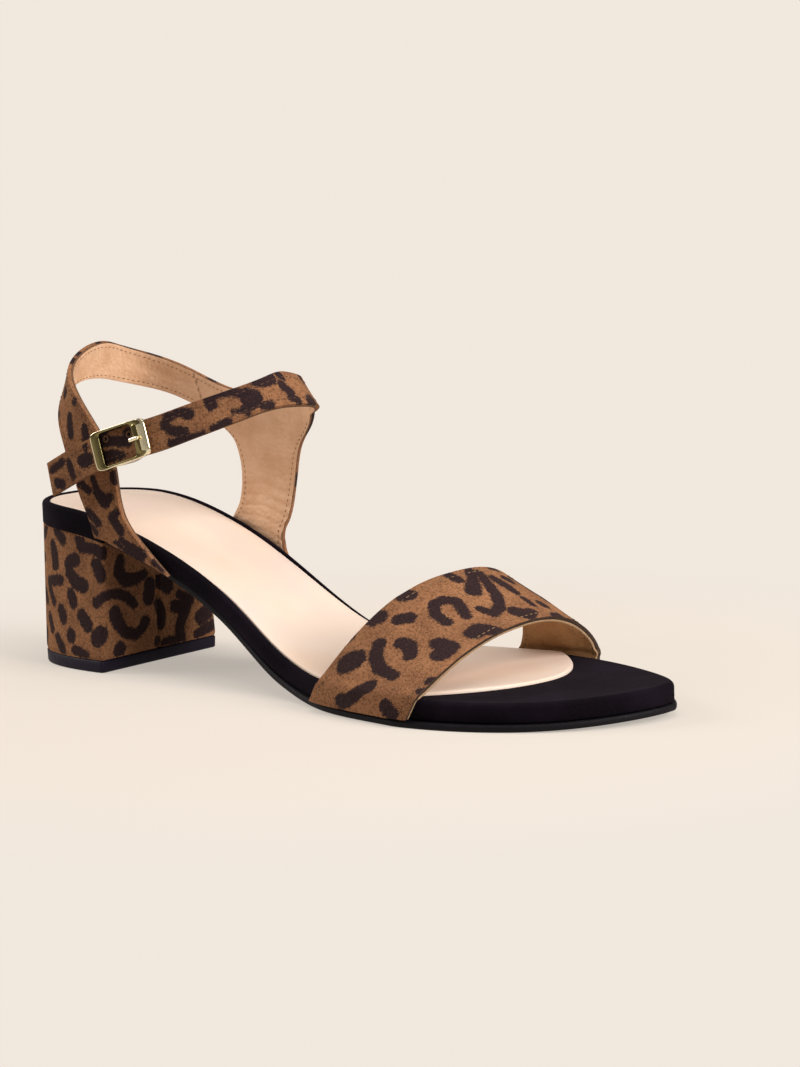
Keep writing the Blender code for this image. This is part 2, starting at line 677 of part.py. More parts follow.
def make_buckle_frame(axes):
    """Frame: two rails, two end bars above the strap and the centre bar below it."""
    over = STRAP_WALL / 2 + SEAM_GAP + BAR_HEIGHT / 2
    under = STRAP_WALL / 2 + SEAM_GAP + CENTRE_BAR / 2
    top = over + BAR_HEIGHT / 2 - JOIN_INSET
    bottom = -under - CENTRE_BAR / 2 - JOIN_INSET
    rail_at = BUCKLE_HALF_WIDTH + RAIL_THICKNESS / 2
    full = 2 * BUCKLE_HALF_WIDTH + RAIL_THICKNESS
    rear_x = -BUCKLE_HALF_LENGTH + END_BAR_WIDTH / 2
    front_x = BUCKLE_HALF_LENGTH - FRONT_BAR_WIDTH / 2
    bars = (
        ((rear_x, 0.0, over), (END_BAR_WIDTH, full, BAR_HEIGHT)),
        ((front_x, 0.0, over), (FRONT_BAR_WIDTH, full, BAR_HEIGHT)),
        ((0.0, 0.0, -under), (CENTRE_BAR, full, CENTRE_BAR)),
    )
    frame = rail_object("buckle_frame", axes, rail_at, top, bottom)
    others = [rail_object("buckle_join", axes, -rail_at, top, bottom)]
    others += [box_object("buckle_join", axes, centre, size, "gold_metal") for centre, size in bars]
    for other in others[1:] + others[:1]:
        join = frame.modifiers.new("join", "BOOLEAN")
        join.operation = "UNION"
        join.object = other
        SANDAL.objects.unlink(other)
        CUTTERS.objects.link(other)
        other.hide_render = True
        other.display_type = "WIRE"
    return frame


def make_buckle_prong(axes):
    """Prong lying along the strap, its tip on the front bar."""
    low = STRAP_WALL / 2 + SEAM_GAP + PRONG_RADIUS
    high = STRAP_WALL / 2 + 2 * SEAM_GAP + BAR_HEIGHT + PRONG_RADIUS
    end = BUCKLE_HALF_LENGTH - PRONG_END_INSET
    spline_data = bpy.data.curves.new("buckle_prong", "CURVE")
    spline_data.dimensions = "3D"
    spline_data.bevel_depth = PRONG_RADIUS * MM
    spline_data.bevel_resolution = 2
    spline_data.use_fill_caps = True
    spline = spline_data.splines.new("POLY")
    spline.points.add(PRONG_POINTS - 1)
    climb = BUCKLE_HALF_LENGTH - FRONT_BAR_WIDTH - PRONG_CLIMB_STOP - PRONG_START
    for point, x in zip(spline.points, np.linspace(PRONG_START, end, PRONG_POINTS)):
        part = min(1.0, (x - PRONG_START) / climb)
        lift = low + (high - low) * part * part * (3 - 2 * part)
        point.co = (*in_axes(axes, (x, 0.0, lift)), 1.0)
    prong = bpy.data.objects.new("buckle_prong", spline_data)
    spline_data.materials.append(MATERIALS["gold_metal"])
    SANDAL.objects.link(prong)
    return prong


def make_buckle_tab(axes):
    """Flat loop that holds the centre bar, sewn on the outer quarter behind it."""
    middle, along, _, outward = axes
    under = STRAP_WALL / 2 + 2 * SEAM_GAP + CENTRE_BAR + TAB_THICKNESS / 2
    front = middle - outward * under + along * CENTRE_BAR
    beside = STRAP_WALL / 2 + SEAM_GAP + TAB_THICKNESS / 2
    rear = wall_point(TAB_ON_QUARTER_S, TAB_ON_QUARTER_Z, beside)
    length = np.linalg.norm(front - rear)
    ahead = (front - rear) / length
    side = np.cross(outward, ahead)
    side /= np.linalg.norm(side)
    tab_axes = ((front + rear) / 2, ahead, side, np.cross(ahead, side))
    size = (length, TAB_WIDTH, TAB_THICKNESS)
    return box_object("buckle_tab", tab_axes, (0.0, 0.0, 0.0), size, "spotted_suede", round_by=TAB_ROUND)


def make_materials():
    """One plain material for each finish."""
    made = {}
    for name, (colour, roughness, metallic) in COLOURS.items():
        material = bpy.data.materials.new(name)
        material.use_nodes = True
        shader = material.node_tree.nodes["Principled BSDF"]
        shader.inputs["Base Color"].default_value = (*colour, 1.0)
        shader.inputs["Roughness"].default_value = roughness
        shader.inputs["Metallic"].default_value = metallic
        made[name] = material
    return made


for old in list(bpy.data.objects):
    bpy.data.objects.remove(old)
SANDAL = bpy.data.collections.new("mid_heel_sandal")
CUTTERS = bpy.data.collections.new("joins")
bpy.context.scene.collection.children.link(SANDAL)
bpy.context.scene.collection.children.link(CUTTERS)
MATERIALS = make_materials()

make_outsole()
make_footbed()
make_insole_sock()
make_heel_block()
make_heel_top_piece()
make_vamp_strap()
make_quarter_strap()
BUCKLE_AXES = buckle_frame_axes()
make_buckle_frame(BUCKLE_AXES)
make_buckle_prong(BUCKLE_AXES)
make_buckle_tab(BUCKLE_AXES)
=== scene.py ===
"""Looks of a mid heel sandal for the right foot: printed suede straps, covered heel, gilt buckle.

Shoe sizes are in millimetres: x from the back of the footbed to the toe, y from its middle
line to the inner side of the foot, z up from the floor. They repeat the sizes of the solids,
and every mesh is placed in the part's frame in metres.
"""
from __future__ import annotations

import json
import logging
import math
from dataclasses import dataclass
from enum import Enum
from typing import Any, Callable, Sequence

import bmesh
import bpy
import numpy as np
from mathutils import Matrix, Vector

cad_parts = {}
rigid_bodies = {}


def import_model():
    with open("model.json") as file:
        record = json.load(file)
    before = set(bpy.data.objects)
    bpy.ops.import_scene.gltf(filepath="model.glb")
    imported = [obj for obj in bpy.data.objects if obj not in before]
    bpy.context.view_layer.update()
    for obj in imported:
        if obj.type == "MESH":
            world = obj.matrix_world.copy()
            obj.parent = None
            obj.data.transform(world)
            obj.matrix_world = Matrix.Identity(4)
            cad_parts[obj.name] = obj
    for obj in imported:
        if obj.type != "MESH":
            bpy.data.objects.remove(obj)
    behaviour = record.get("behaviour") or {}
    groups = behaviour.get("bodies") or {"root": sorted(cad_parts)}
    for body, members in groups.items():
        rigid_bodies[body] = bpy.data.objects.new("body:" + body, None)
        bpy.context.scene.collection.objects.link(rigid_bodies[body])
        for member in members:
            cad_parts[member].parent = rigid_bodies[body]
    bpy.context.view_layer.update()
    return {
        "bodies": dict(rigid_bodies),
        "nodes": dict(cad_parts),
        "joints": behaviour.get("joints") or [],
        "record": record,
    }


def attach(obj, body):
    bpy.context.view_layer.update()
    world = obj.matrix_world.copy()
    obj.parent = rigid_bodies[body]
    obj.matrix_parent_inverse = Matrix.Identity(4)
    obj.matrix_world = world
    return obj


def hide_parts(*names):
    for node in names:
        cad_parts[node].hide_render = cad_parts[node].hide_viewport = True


LOG = logging.getLogger("sandal")
BODY = "root"
MM = 0.001
TINY = 1e-6
# Shoe place in millimetres that lies on the frame's origin
SHOE_MIDDLE = np.array((119.29, -1.25, 0.0))
# Mark of a place that is far from any spot, seam or rim
FAR = 99.0
# Distances in millimetres within which the vertices of a loft, and of two patches, are welded
LOFT_WELD = 0.004
PATCH_WELD = 0.02
# Angles in degrees past which an edge isn't smoothed, and past which a cut edge is rounded
SHARP_ANGLE = 45.0
CUT_ANGLE = 50.0

Array = np.ndarray
Pair = tuple[float, float]
Place = tuple[float, float, float]
Table = tuple[tuple[float, ...], ...]
Stroke = tuple[Place, ...]
Curve = Callable[[Array], Array]
Relief = Callable[[Array, Array], Array]
Edge = Callable[[Array, "Side"], Array]
Mesh = bmesh.types.BMesh
Material = bpy.types.Material
Socket = bpy.types.NodeSocket
WHOLE: Pair = (0.0, 1.0)


class Slot(Enum):
    """Material slots of the part's record."""

    BLACK_SUEDE = "black_suede"
    BLACK_RUBBER = "black_rubber"
    BEIGE_LEATHER = "beige_leather"
    SPOTTED_SUEDE = "spotted_suede"
    GOLD_METAL = "gold_metal"


class Side(Enum):
    """Sides of the foot, as the sign of y."""

    OUTER = -1
    INNER = 1


class Mark(Enum):
    """Vertex marks that the finishes read, all distances in millimetres."""

    SPOT = "spot"
    SEAM = "seam"
    # Distance in from the buckle's outer rim, 0 over its front lip and prong: where it is low the gilt paints
    # its highlight
    EDGE = "edge"


# Curves, sheets and pieces


def steady_curve(knots: Sequence[float], values: Sequence[float]) -> Curve:
    """Make a smooth curve that never overshoots its knots.

    Args:
        knots: Rising places of the knots.
        values: Value at each knot.

    Returns:
        A function of an array of places.
    """
    at_knots = np.array(knots, float)
    at_values = np.array(values, float)
    step = np.diff(at_knots)
    rise = np.diff(at_values) / step
    same = rise[:-1] * rise[1:] > 0
    slope = np.zeros(len(at_knots))
    mean = 2 * rise[:-1] * rise[1:] / np.where(same, rise[:-1] + rise[1:], 1.0)
    slope[1:-1] = np.where(same, mean, 0.0)
    slope[0], slope[-1] = rise[0], rise[-1]

    def curve(at: Array) -> Array:
        """Evaluate the curve, held at its ends.

        Args:
            at: Places along the curve.

        Returns:
            The value at each place.
        """
        place = np.clip(at, at_knots[0], at_knots[-1])
        i = np.clip(np.searchsorted(at_knots, place) - 1, 0, len(step) - 1)
        t = (place - at_knots[i]) / step[i]
        start = at_values[i] * (1 + 2 * t) * (1 - t) ** 2 + slope[i] * step[i] * t * (1 - t) ** 2
        end = at_values[i + 1] * t * t * (3 - 2 * t) - slope[i + 1] * step[i] * t * t * (1 - t)
        return start + end

    return curve


def even_curve(knots: Sequence[float], values: Sequence[float]) -> Curve:
    """Make a natural cubic curve, for paths with an even bend.

    Args:
        knots: Rising places of the knots.
        values: Value at each knot.

    Returns:
        A function of an array of places.
    """
    at_knots = np.array(knots, float)
    at_values = np.array(values, float)
    count = len(at_knots)
    step = np.diff(at_knots)
    rise = np.diff(at_values) / step
    system = np.eye(count)
    right = np.zeros(count)
    for i in range(1, count - 1):
        system[i, i - 1:i + 2] = step[i - 1], 2 * (step[i - 1] + step[i]), step[i]
        right[i] = 6 * (rise[i] - rise[i - 1])
    bend = np.linalg.solve(system, right)

    def curve(at: Array) -> Array:
        """Evaluate the curve, running straight on past its ends.

        Args:
            at: Places along the curve.

        Returns:
            The value at each place.
        """
        i = np.clip(np.searchsorted(at_knots, at) - 1, 0, count - 2)
        h = step[i]
        a = (at_knots[i + 1] - at) / h
        b = (at - at_knots[i]) / h
        line = a * at_values[i] + b * at_values[i + 1]
        return line + ((a ** 3 - a) * bend[i] + (b ** 3 - b) * bend[i + 1]) * h * h / 6

    return curve


def ease(part: Array) -> Array:
    """Ease a share from 0 to 1, held at both ends."""
    held = np.clip(part, 0.0, 1.0)
    return held * held * (3 - 2 * held)


def in_frame(points: Array) -> Array:
    """Turn shoe places in millimetres into the part's frame in metres."""
    return (points - SHOE_MIDDLE) * MM


def run_along(path: Array) -> Array:
    """Distance along a path at each of its points."""
    return np.append(0.0, np.cumsum(np.linalg.norm(np.diff(path, axis=0), axis=1)))


def unit(vectors: Array) -> Array:
    """Vectors of length 1 in the same directions."""
    return vectors / np.maximum(np.linalg.norm(vectors, axis=-1, keepdims=True), TINY)


def marked_mesh(*marks: Mark) -> Mesh:
    """Start an empty mesh.

    Args:
        *marks: Vertex marks that it carries.

    Returns:
        The new mesh.
    """
    bm = bmesh.new()
    for mark in marks:
        bm.verts.layers.float.new(mark.value)
    return bm


def add_sheet(
    bm: Mesh,
    columns: int,
    rows: int,
    lay: Callable[[Array, Array], Array],
    marks: dict[Mark, Relief] | None = None,
) -> list[bmesh.types.BMFace]:
    """Lay a grid of quads on a surface.

    Args:
        bm: Mesh that takes the grid.
        columns: Quads along the first share.
        rows: Quads along the second share.
        lay: Shoe place in millimetres for two arrays of shares from 0 to 1.
        marks: Value of each vertex mark for the same shares.

    Returns:
        The new faces.
    """
    verts = bmesh.ops.create_grid(bm, x_segments=columns, y_segments=rows, size=0.5)["verts"]
    share = np.clip(np.array([vert.co[:2] for vert in verts]) + 0.5, 0.0, 1.0)
    points = in_frame(lay(share[:, 0], share[:, 1]))
    for vert, point in zip(verts, points):
        vert.co = point
    for mark, value in (marks or {}).items():
        layer = bm.verts.layers.float[mark.value]
        for vert, number in zip(verts, value(share[:, 0], share[:, 1])):
            vert[layer] = number
    return list({face for vert in verts for face in vert.link_faces})


def loft(profile: Sequence[Array], across: int, marks: dict[Mark, Array] | None = None) -> Mesh:
    """Loft closed rings into a solid whose caps span facing points and carry no mark.

    Args:
        profile: Places in millimetres of each ring, from the bottom up.
        across: Quads across each cap.
        marks: Value of each vertex mark on the wall, one for each ring point.

    Returns:
        The new mesh.
    """
    rings = np.array(profile)
    held = marks or {}
    bm = marked_mesh(*held)
    levels, count = rings.shape[:2]
    half = count // 2

    def wall(p: Array, q: Array) -> tuple[Array, Array]:
        """Ring and point that a share of the wall stands for."""
        return np.rint(q * (levels - 1)).astype(int), np.rint(p * count).astype(int) % count

    add_sheet(
        bm, count, levels - 1, lambda p, q: rings[wall(p, q)],
        {mark: (lambda p, q, value=value: value[wall(p, q)]) for mark, value in held.items()})
    for ring in (rings[0], rings[-1]):
        def cap(p: Array, q: Array, edge: Array = ring) -> Array:
            """Place between two facing points of the ring."""
            i = np.rint(p * (half - 1)).astype(int)
            return edge[i] + (edge[count - 1 - i] - edge[i]) * q[:, None]
        add_sheet(bm, half - 1, across, cap, {mark: (lambda p, q: np.full(p.shape, FAR)) for mark in held})
    bmesh.ops.remove_doubles(bm, verts=bm.verts, dist=LOFT_WELD * MM)
    bmesh.ops.recalc_face_normals(bm, faces=bm.faces)
    return bm


def make_piece(
    name: str,
    bm: Mesh,
    slot: Slot,
    finishes: Sequence[Finish],
    nodes: Sequence[str] = (),
) -> bpy.types.Object:
    """Turn a mesh into a piece that rides on the shoe.

    Args:
        name: Name of the piece.
        bm: Finished mesh in the part's frame, freed here.
        slot: Material slot that the piece belongs to; not used.
        finishes: Its finishes in the order of the faces' indices.
        nodes: Solids that the piece stands for.

    Returns:
        The new object.
    """
    mesh = bpy.data.meshes.new(name)
    bm.to_mesh(mesh)
    bm.free()
    for finish in finishes:
        mesh.materials.append(finish.material())
    mesh.shade_smooth()
    mesh.set_sharp_from_angle(angle=math.radians(SHARP_ANGLE))
    piece = bpy.data.objects.new(name, mesh)
    bpy.context.scene.collection.objects.link(piece)
    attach(piece, BODY)
    if nodes:
        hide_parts(*nodes)
    LOG.info("%s: %d faces", name, len(mesh.polygons))
    return piece


def give_wall(piece: bpy.types.Object, thickness: float, towards: float, round_by: float) -> None:
    """Give an open sheet its thickness and round its cut edges.

    Args:
        piece: Sheet; a second material, if it has one, is its cut edge.
        thickness: Thickness in millimetres.
        towards: 1 to grow outward from the sheet, -1 to grow inward.
        round_by: Rounding of the cut edges in millimetres.
    """
    wall = piece.modifiers.new("wall", "SOLIDIFY")
    wall.thickness = thickness * MM
    wall.offset = towards
    wall.material_offset_rim = len(piece.data.materials) - 1
    edge = piece.modifiers.new("edge", "BEVEL")
    edge.width = round_by * MM
    edge.segments = 2
    edge.limit_method = "ANGLE"
    edge.angle_limit = math.radians(CUT_ANGLE)


# Spots and creases


@dataclass(frozen=True)
class SpotChart:
    """Spots of the print as tapered strokes of (place, place, radius) in millimetres."""

    strokes: tuple[Stroke, ...]
    # Bent strokes that a scatter draws: angles with their odds, points for an angle, bends and radii
    sweeps: tuple[float, ...] = (0.6, 1.2, 2.4, 3.6)
    odds: tuple[float, ...] = (0.34, 0.30, 0.22, 0.14)
    points: float = 1.4
    bends: Pair = (2.8, 4.6)
    radii: Pair = (1.3, 2.2)
    spacing: float = 1.5

    def depth(self, u: Array, v: Array) -> Array:
        """Measure how far places lie outside the nearest spot.

        Args:
            u: First coordinate of each place.
            v: Second coordinate of each place.

        Returns:
            Distance in millimetres to the nearest spot's edge, negative inside it.
        """
        best = np.full(np.shape(u), FAR)
        for stroke in self.strokes:
            ends = stroke if len(stroke) > 1 else stroke * 2
            for (u0, v0, r0), (u1, v1, r1) in zip(ends[:-1], ends[1:]):
                du, dv = u1 - u0, v1 - v0
                length = max(du * du + dv * dv, TINY)
                t = np.clip(((u - u0) * du + (v - v0) * dv) / length, 0, 1)
                gap = np.hypot(u - u0 - du * t, v - v0 - dv * t) - (r0 + (r1 - r0) * t)
                best = np.minimum(best, gap)
        return best

    def scattered(self, area: tuple[float, float, float, float], tries: int, seed: int) -> SpotChart:
        """Add loose spots of the same kind where the chart is empty.

        Args:
            area: Lowest and highest first and second coordinate of the area.
            tries: How many spots are tried; those too near another are dropped.
            seed: Seed of the scatter.

        Returns:
            The fuller chart.
        """
        rng = np.random.default_rng(seed)
        chart = self
        for _ in range(tries):
            middle = np.array((rng.uniform(area[0], area[1]), rng.uniform(area[2], area[3])))
            turn = rng.uniform(0, 2 * math.pi)
            sweep = rng.choice(self.sweeps, p=self.odds)
            bend = rng.uniform(*self.bends)
            count = 2 + int(sweep * self.points)
            angles = turn + np.linspace(-sweep / 2, sweep / 2, count)
            centre = middle - bend * np.array((math.cos(turn), math.sin(turn)))
            radii = rng.uniform(*self.radii, count)
            stroke = tuple(
                (centre[0] + bend * math.cos(a), centre[1] + bend * math.sin(a), float(r))
                for a, r in zip(angles, radii))
            us, vs, rs = np.array(stroke).T
            if np.min(chart.depth(us, vs) - rs) > self.spacing:
                chart = SpotChart(chart.strokes + (stroke,))
        return chart


@dataclass(frozen=True)
class Crease:
    """One soft trough (negative) or ridge in a surface."""

    path: tuple[Pair, ...]
    width: float
    height: float

    def lift(self, u: Array, v: Array) -> Array:
        """Height in millimetres that the crease adds at each place."""
        line = SpotChart((tuple((a, b, 0.0) for a, b in self.path),))
        return self.height * np.exp(-0.5 * (line.depth(u, v) / self.width) ** 2)


VAMP_SPOTS = SpotChart((
    ((7.2, -13.6, 3.1), (9.0, -11.2, 3.1)),
    ((15.9, -8.0, 2.0), (12.1, -5.9, 2.1), (9.4, -1.5, 2.0), (8.3, 6.2, 1.6)),
    ((19.3, -2.2, 2.0), (19.6, 1.2, 2.2), (16.8, 4.3, 2.0)),
    ((25.0, 7.8, 2.6), (25.6, 11.2, 3.0), (21.6, 11.8, 2.8)),
    ((33.2, 2.6, 1.7), (33.4, -2.4, 1.7), (36.3, -5.8, 1.7), (40.0, -5.5, 1.7), (42.2, -3.0, 1.8),
     (41.1, 0.8, 1.7), (39.6, 4.0, 1.6)),
    ((25.1, -9.4, 1.9), (27.7, -6.9, 2.0)),
    ((20.8, -16.0, 2.1), (22.8, -14.8, 2.1)),
    ((31.8, -15.0, 1.9), (34.2, -13.6, 2.0)),
    ((14.0, -18.8, 1.8),),
    ((49.5, -14.3, 1.6), (50.5, -10.6, 1.6)),
    ((56.8, -12.3, 1.9), (54.3, -8.0, 1.7), (50.7, -4.3, 2.6)),
    ((59.4, -11.0, 1.5), (57.9, -5.6, 1.6), (55.6, 0.6, 2.0), (52.6, 5.6, 2.0), (47.8, 7.4, 1.6),
     (45.7, 3.6, 1.4)),
    ((62.2, -7.4, 1.6), (63.2, -3.6, 1.9), (63.8, 0.6, 1.3)),
    ((64.2, 3.8, 0.9), (65.2, 7.6, 0.9)),
    ((55.8, 9.2, 2.5), (58.5, 11.5, 2.8), (61.6, 10.8, 1.8)),
    ((35.2, 11.6, 2.6), (38.2, 11.2, 2.9), (41.0, 14.2, 2.6)),
    ((10.6, 17.6, 1.8),),
    ((5.4, 19.0, 1.5),),
    ((2.6, 0.6, 2.6), (-0.6, -2.2, 2.8), (-3.2, -4.8, 2.3), (-2.6, -7.4, 1.7)),
    ((-1.8, 11.2, 1.7), (-4.6, 16.0, 1.7)),
    ((66.0, -13.5, 1.0), (69.0, -12.0, 1.0)),
    ((72.0, -9.0, 1.2), (74.0, -4.0, 1.2)),
    ((74.0, -2.0, 1.2), (76.0, 3.0, 1.2)),
    ((84.0, 4.0, 1.3), (88.0, 8.0, 1.3)),
))
HEEL_SPOTS = SpotChart((
    ((49.5, 44.5, 1.6), (45.5, 42.0, 1.9)),
    ((51.8, 39.5, 1.9), (50.3, 36.0, 2.2), (50.2, 33.5, 2.2)),
    ((38.8, 36.0, 2.2), (42.2, 34.8, 2.0), (41.8, 31.6, 2.0), (38.8, 28.8, 2.4), (35.0, 27.8, 2.5)),
    ((36.8, 43.0, 2.0), (36.0, 40.3, 2.0), (31.0, 40.2, 1.6), (26.3, 38.8, 2.2)),
    ((28.8, 35.0, 2.3), (26.8, 31.6, 2.3)),
    ((41.0, 24.5, 2.1), (39.8, 22.0, 2.1)),
    ((46.6, 28.5, 1.7), (50.5, 28.2, 1.7), (55.0, 27.4, 1.6), (54.0, 24.5, 1.4), (51.5, 21.0, 1.4)),
    ((46.6, 18.8, 2.0), (45.2, 16.4, 2.1)),
    ((35.4, 18.0, 2.2), (32.6, 15.2, 2.3)),
    ((41.0, 11.1, 2.4),),
    ((28.2, 11.4, 2.9), (26.2, 12.6, 2.9)),
    ((39.0, 6.6, 1.6), (33.5, 5.4, 1.6)),
    ((49.0, 9.4, 1.7), (45.6, 5.8, 1.7)),
    ((55.0, 15.5, 1.6), (53.0, 12.0, 1.6)),
    ((17.8, 35.4, 2.0), (18.7, 32.3, 2.2), (15.6, 28.9, 2.2), (10.5, 28.5, 2.0), (6.3, 29.7, 1.4)),
    ((28.8, 22.8, 1.7), (25.6, 24.8, 1.5), (20.3, 25.2, 1.5), (14.8, 23.4, 1.7), (11.4, 20.4, 1.5)),
    ((20.5, 18.7, 2.5), (18.6, 15.4, 2.4), (15.8, 12.0, 1.9), (10.8, 10.2, 1.6), (7.8, 12.2, 1.8),
     (6.5, 14.0, 2.0)),
    ((3.8, 25.6, 2.6), (4.6, 21.6, 2.6)),
    ((-1.5, 26.0, 2.4), (-4.5, 24.0, 2.6)),
    ((0.4, 19.0, 1.8), (-1.2, 15.5, 1.8), (-0.8, 12.0, 1.8)),
    ((-7.4, 16.9, 2.2), (-12.5, 15.4, 2.3), (-10.5, 12.4, 2.0), (-9.0, 9.3, 2.0), (-9.4, 5.2, 2.0)),
    ((-19.0, 11.2, 2.6), (-22.0, 12.4, 2.6)),
    ((-17.0, 5.6, 1.8), (-21.0, 7.2, 1.8), (-25.0, 8.0, 1.8)),
    ((-10.0, 20.4, 1.6), (-15.0, 17.6, 1.6)),
    ((-2.5, 5.5, 1.6), (-6.0, 5.6, 1.6)),
    ((1.2, 6.5, 1.6),),
    ((18.2, 6.6, 2.5),),
))
WALL_SPOTS = SpotChart((
    ((-68.3, 38.0, 1.2), (-72.3, 36.3, 1.2)),
    ((-54.5, 44.2, 0.9), (-59.3, 41.4, 1.8), (-63.2, 40.0, 1.9)),
    ((-51.8, 43.4, 0.5), (-57.4, 40.4, 0.5)),
    ((-53.0, 53.0, 1.3), (-51.2, 51.2, 1.7), (-54.4, 47.2, 1.6)),
    ((-40.8, 52.6, 1.3), (-44.8, 49.2, 1.5)),
    ((-41.0, 48.4, 0.8), (-44.2, 46.0, 0.9)),
    ((-43.8, 63.4, 1.1), (-45.2, 59.0, 1.6), (-48.2, 56.4, 2.3), (-51.0, 58.0, 1.2)),
    ((-38.0, 61.6, 1.4), (-41.6, 59.4, 1.2)),
    ((-53.6, 64.2, 2.4),),
    ((-33.2, 82.6, 1.4), (-34.2, 77.0, 1.5)),
    ((-41.0, 79.5, 1.4), (-41.6, 75.5, 1.6)),
    ((-28.0, 90.0, 2.0),),
    ((-36.0, 87.5, 1.2),),
    ((-24.0, 82.0, 1.3),),
    ((211.0, 66.2, 1.1), (206.2, 69.2, 1.2)),
    ((203.2, 69.0, 1.2), (201.4, 64.8, 1.2)),
    ((208.6, 62.2, 1.6), (206.6, 62.0, 1.6)),
    ((197.2, 69.8, 2.1), (194.6, 70.6, 2.2)),
    ((195.8, 74.2, 1.2),),
    ((189.0, 79.0, 1.6), (187.2, 76.8, 2.0), (183.0, 76.6, 1.3), (178.5, 76.8, 1.8), (178.0, 79.5, 1.6)),
    ((187.0, 80.6, 1.0), (181.5, 82.0, 1.0)),
    ((188.2, 71.2, 2.0), (184.0, 72.2, 1.9), (180.0, 72.4, 1.0)),
    ((156.4, 85.4, 1.6), (160.2, 85.8, 1.2), (163.8, 84.2, 1.4), (164.6, 82.2, 1.5), (162.8, 80.4, 1.3),
     (158.0, 79.9, 1.6)),
    ((162.0, 76.6, 1.3), (156.0, 78.0, 1.0), (151.5, 79.6, 0.7)),
    ((149.6, 88.2, 1.9), (150.6, 89.6, 1.5), (146.8, 91.4, 1.2), (141.0, 91.4, 1.2), (138.4, 90.0, 2.4),
     (136.0, 89.0, 2.6), (139.0, 86.6, 1.4)),
    ((142.5, 85.8, 0.5), (139.5, 86.0, 0.6)),
    ((148.6, 80.8, 1.0), (144.0, 82.8, 1.2)),
    ((136.2, 94.0, 1.0), (132.0, 93.8, 1.5), (127.0, 94.6, 1.6)),
    ((123.5, 96.0, 1.2), (120.5, 94.6, 1.3)),
    ((123.6, 92.4, 1.6), (121.0, 90.2, 1.8)),
    ((133.4, 86.9, 1.1), (130.6, 87.1, 1.1)),
    ((138.0, 84.9, 0.7),),
    ((122.5, 88.5, 1.2), (119.5, 87.6, 1.2)),
))


# Finishes


def linear(code: str) -> tuple[float, float, float, float]:
    """Turn an sRGB hex value into a linear colour.

    Args:
        code: Colour as "#rrggbb".

    Returns:
        Linear red, green, blue and full alpha.
    """
    parts = [int(code[i:i + 2], 16) / 255 for i in (1, 3, 5)]
    red, green, blue = (p / 12.92 if p <= 0.04045 else ((p + 0.055) / 1.055) ** 2.4 for p in parts)
    return (red, green, blue, 1.0)


def add_node(
    tree: bpy.types.NodeTree, kind: str, inputs: dict[str | int, Any] | None = None, **settings: Any
) -> bpy.types.Node:
    """Add one node with its settings and links.

    Args:
        tree: Node tree that takes the node.
        kind: Blender's name of the node.
        inputs: Value, or socket to link, for each input by name or number.
        **settings: Attributes of the node.

    Returns:
        The new node.
    """
    node = tree.nodes.new(kind)
    for name, value in settings.items():
        setattr(node, name, value)
    for key, value in (inputs or {}).items():
        if isinstance(value, bpy.types.NodeSocket):
            tree.links.new(value, node.inputs[key])
        else:
            node.inputs[key].default_value = value
    return node


class Surface:
    """Material in the making: its node tree, its shader and its places on the piece."""

    def __init__(self, name: str, sockets: dict[str, Any]) -> None:
        """Start the material.

        Args:
            name: Name of the material.
            sockets: Constant values of the shader's sockets.
        """
        self.material = bpy.data.materials.new(name)
        self.material.use_nodes = True
        self.tree = self.material.node_tree
        self.shader = self.tree.nodes["Principled BSDF"]
        for key, value in sockets.items():
            self.shader.inputs[key].default_value = value
        self.place = add_node(self.tree, "ShaderNodeTexCoord").outputs["Object"]

    def clouds(self, size: float, detail: float, span: Pair = WHOLE, share: Pair = WHOLE) -> Socket:
        """Lay clouds of a real size and cut them to a share.

        Args:
            size: Size of a cloud in millimetres.
            detail: How many finer clouds lie in it.
            span: Values of the clouds between which the share changes.
            share: Share at both ends of the span.

        Returns:
            The share at each place.
        """
        cloud = add_node(
            self.tree, "ShaderNodeTexNoise",
            {"Vector": self.place, "Scale": 1.0 / (size * MM), "Detail": detail}).outputs[0]
        limits = {"From Min": span[0], "From Max": span[1], "To Min": share[0], "To Max": share[1]}
        return add_node(self.tree, "ShaderNodeMapRange", {"Value": cloud, **limits}).outputs[0]

    def clouded(self, under: Socket | str, over: str, *cloud: float | Pair) -> Socket:
        """Lay one colour over another in clouds.

        Args:
            under: Colour below, as a socket or a hex value.
            over: Colour of the clouds.
            *cloud: Size, detail, span and share of the clouds.

        Returns:
            The colour at each place.
        """
        below = linear(under) if isinstance(under, str) else under
        return add_node(
            self.tree, "ShaderNodeMix", {0: self.clouds(*cloud), 6: below, 7: linear(over)},
            data_type="RGBA").outputs[2]

    def dress(
        self, colour: Socket, height: Socket | None = None, strength: float = 0.0, depth: float = 0.0
    ) -> Material:
        """Give the shader its colour and its raised grain.

        Args:
            colour: Colour at each place.
            height: Height of the grain at each place, if it has one.
            strength: Strength of the grain.
            depth: Depth of the grain in millimetres.

        Returns:
            The finished material.
        """
        self.tree.links.new(colour, self.shader.inputs["Base Color"])
        if height is not None:
            bump = add_node(
                self.tree, "ShaderNodeBump", {"Strength": strength, "Distance": depth * MM, "Height": height})
            self.tree.links.new(bump.outputs[0], self.shader.inputs["Normal"])
        return self.material


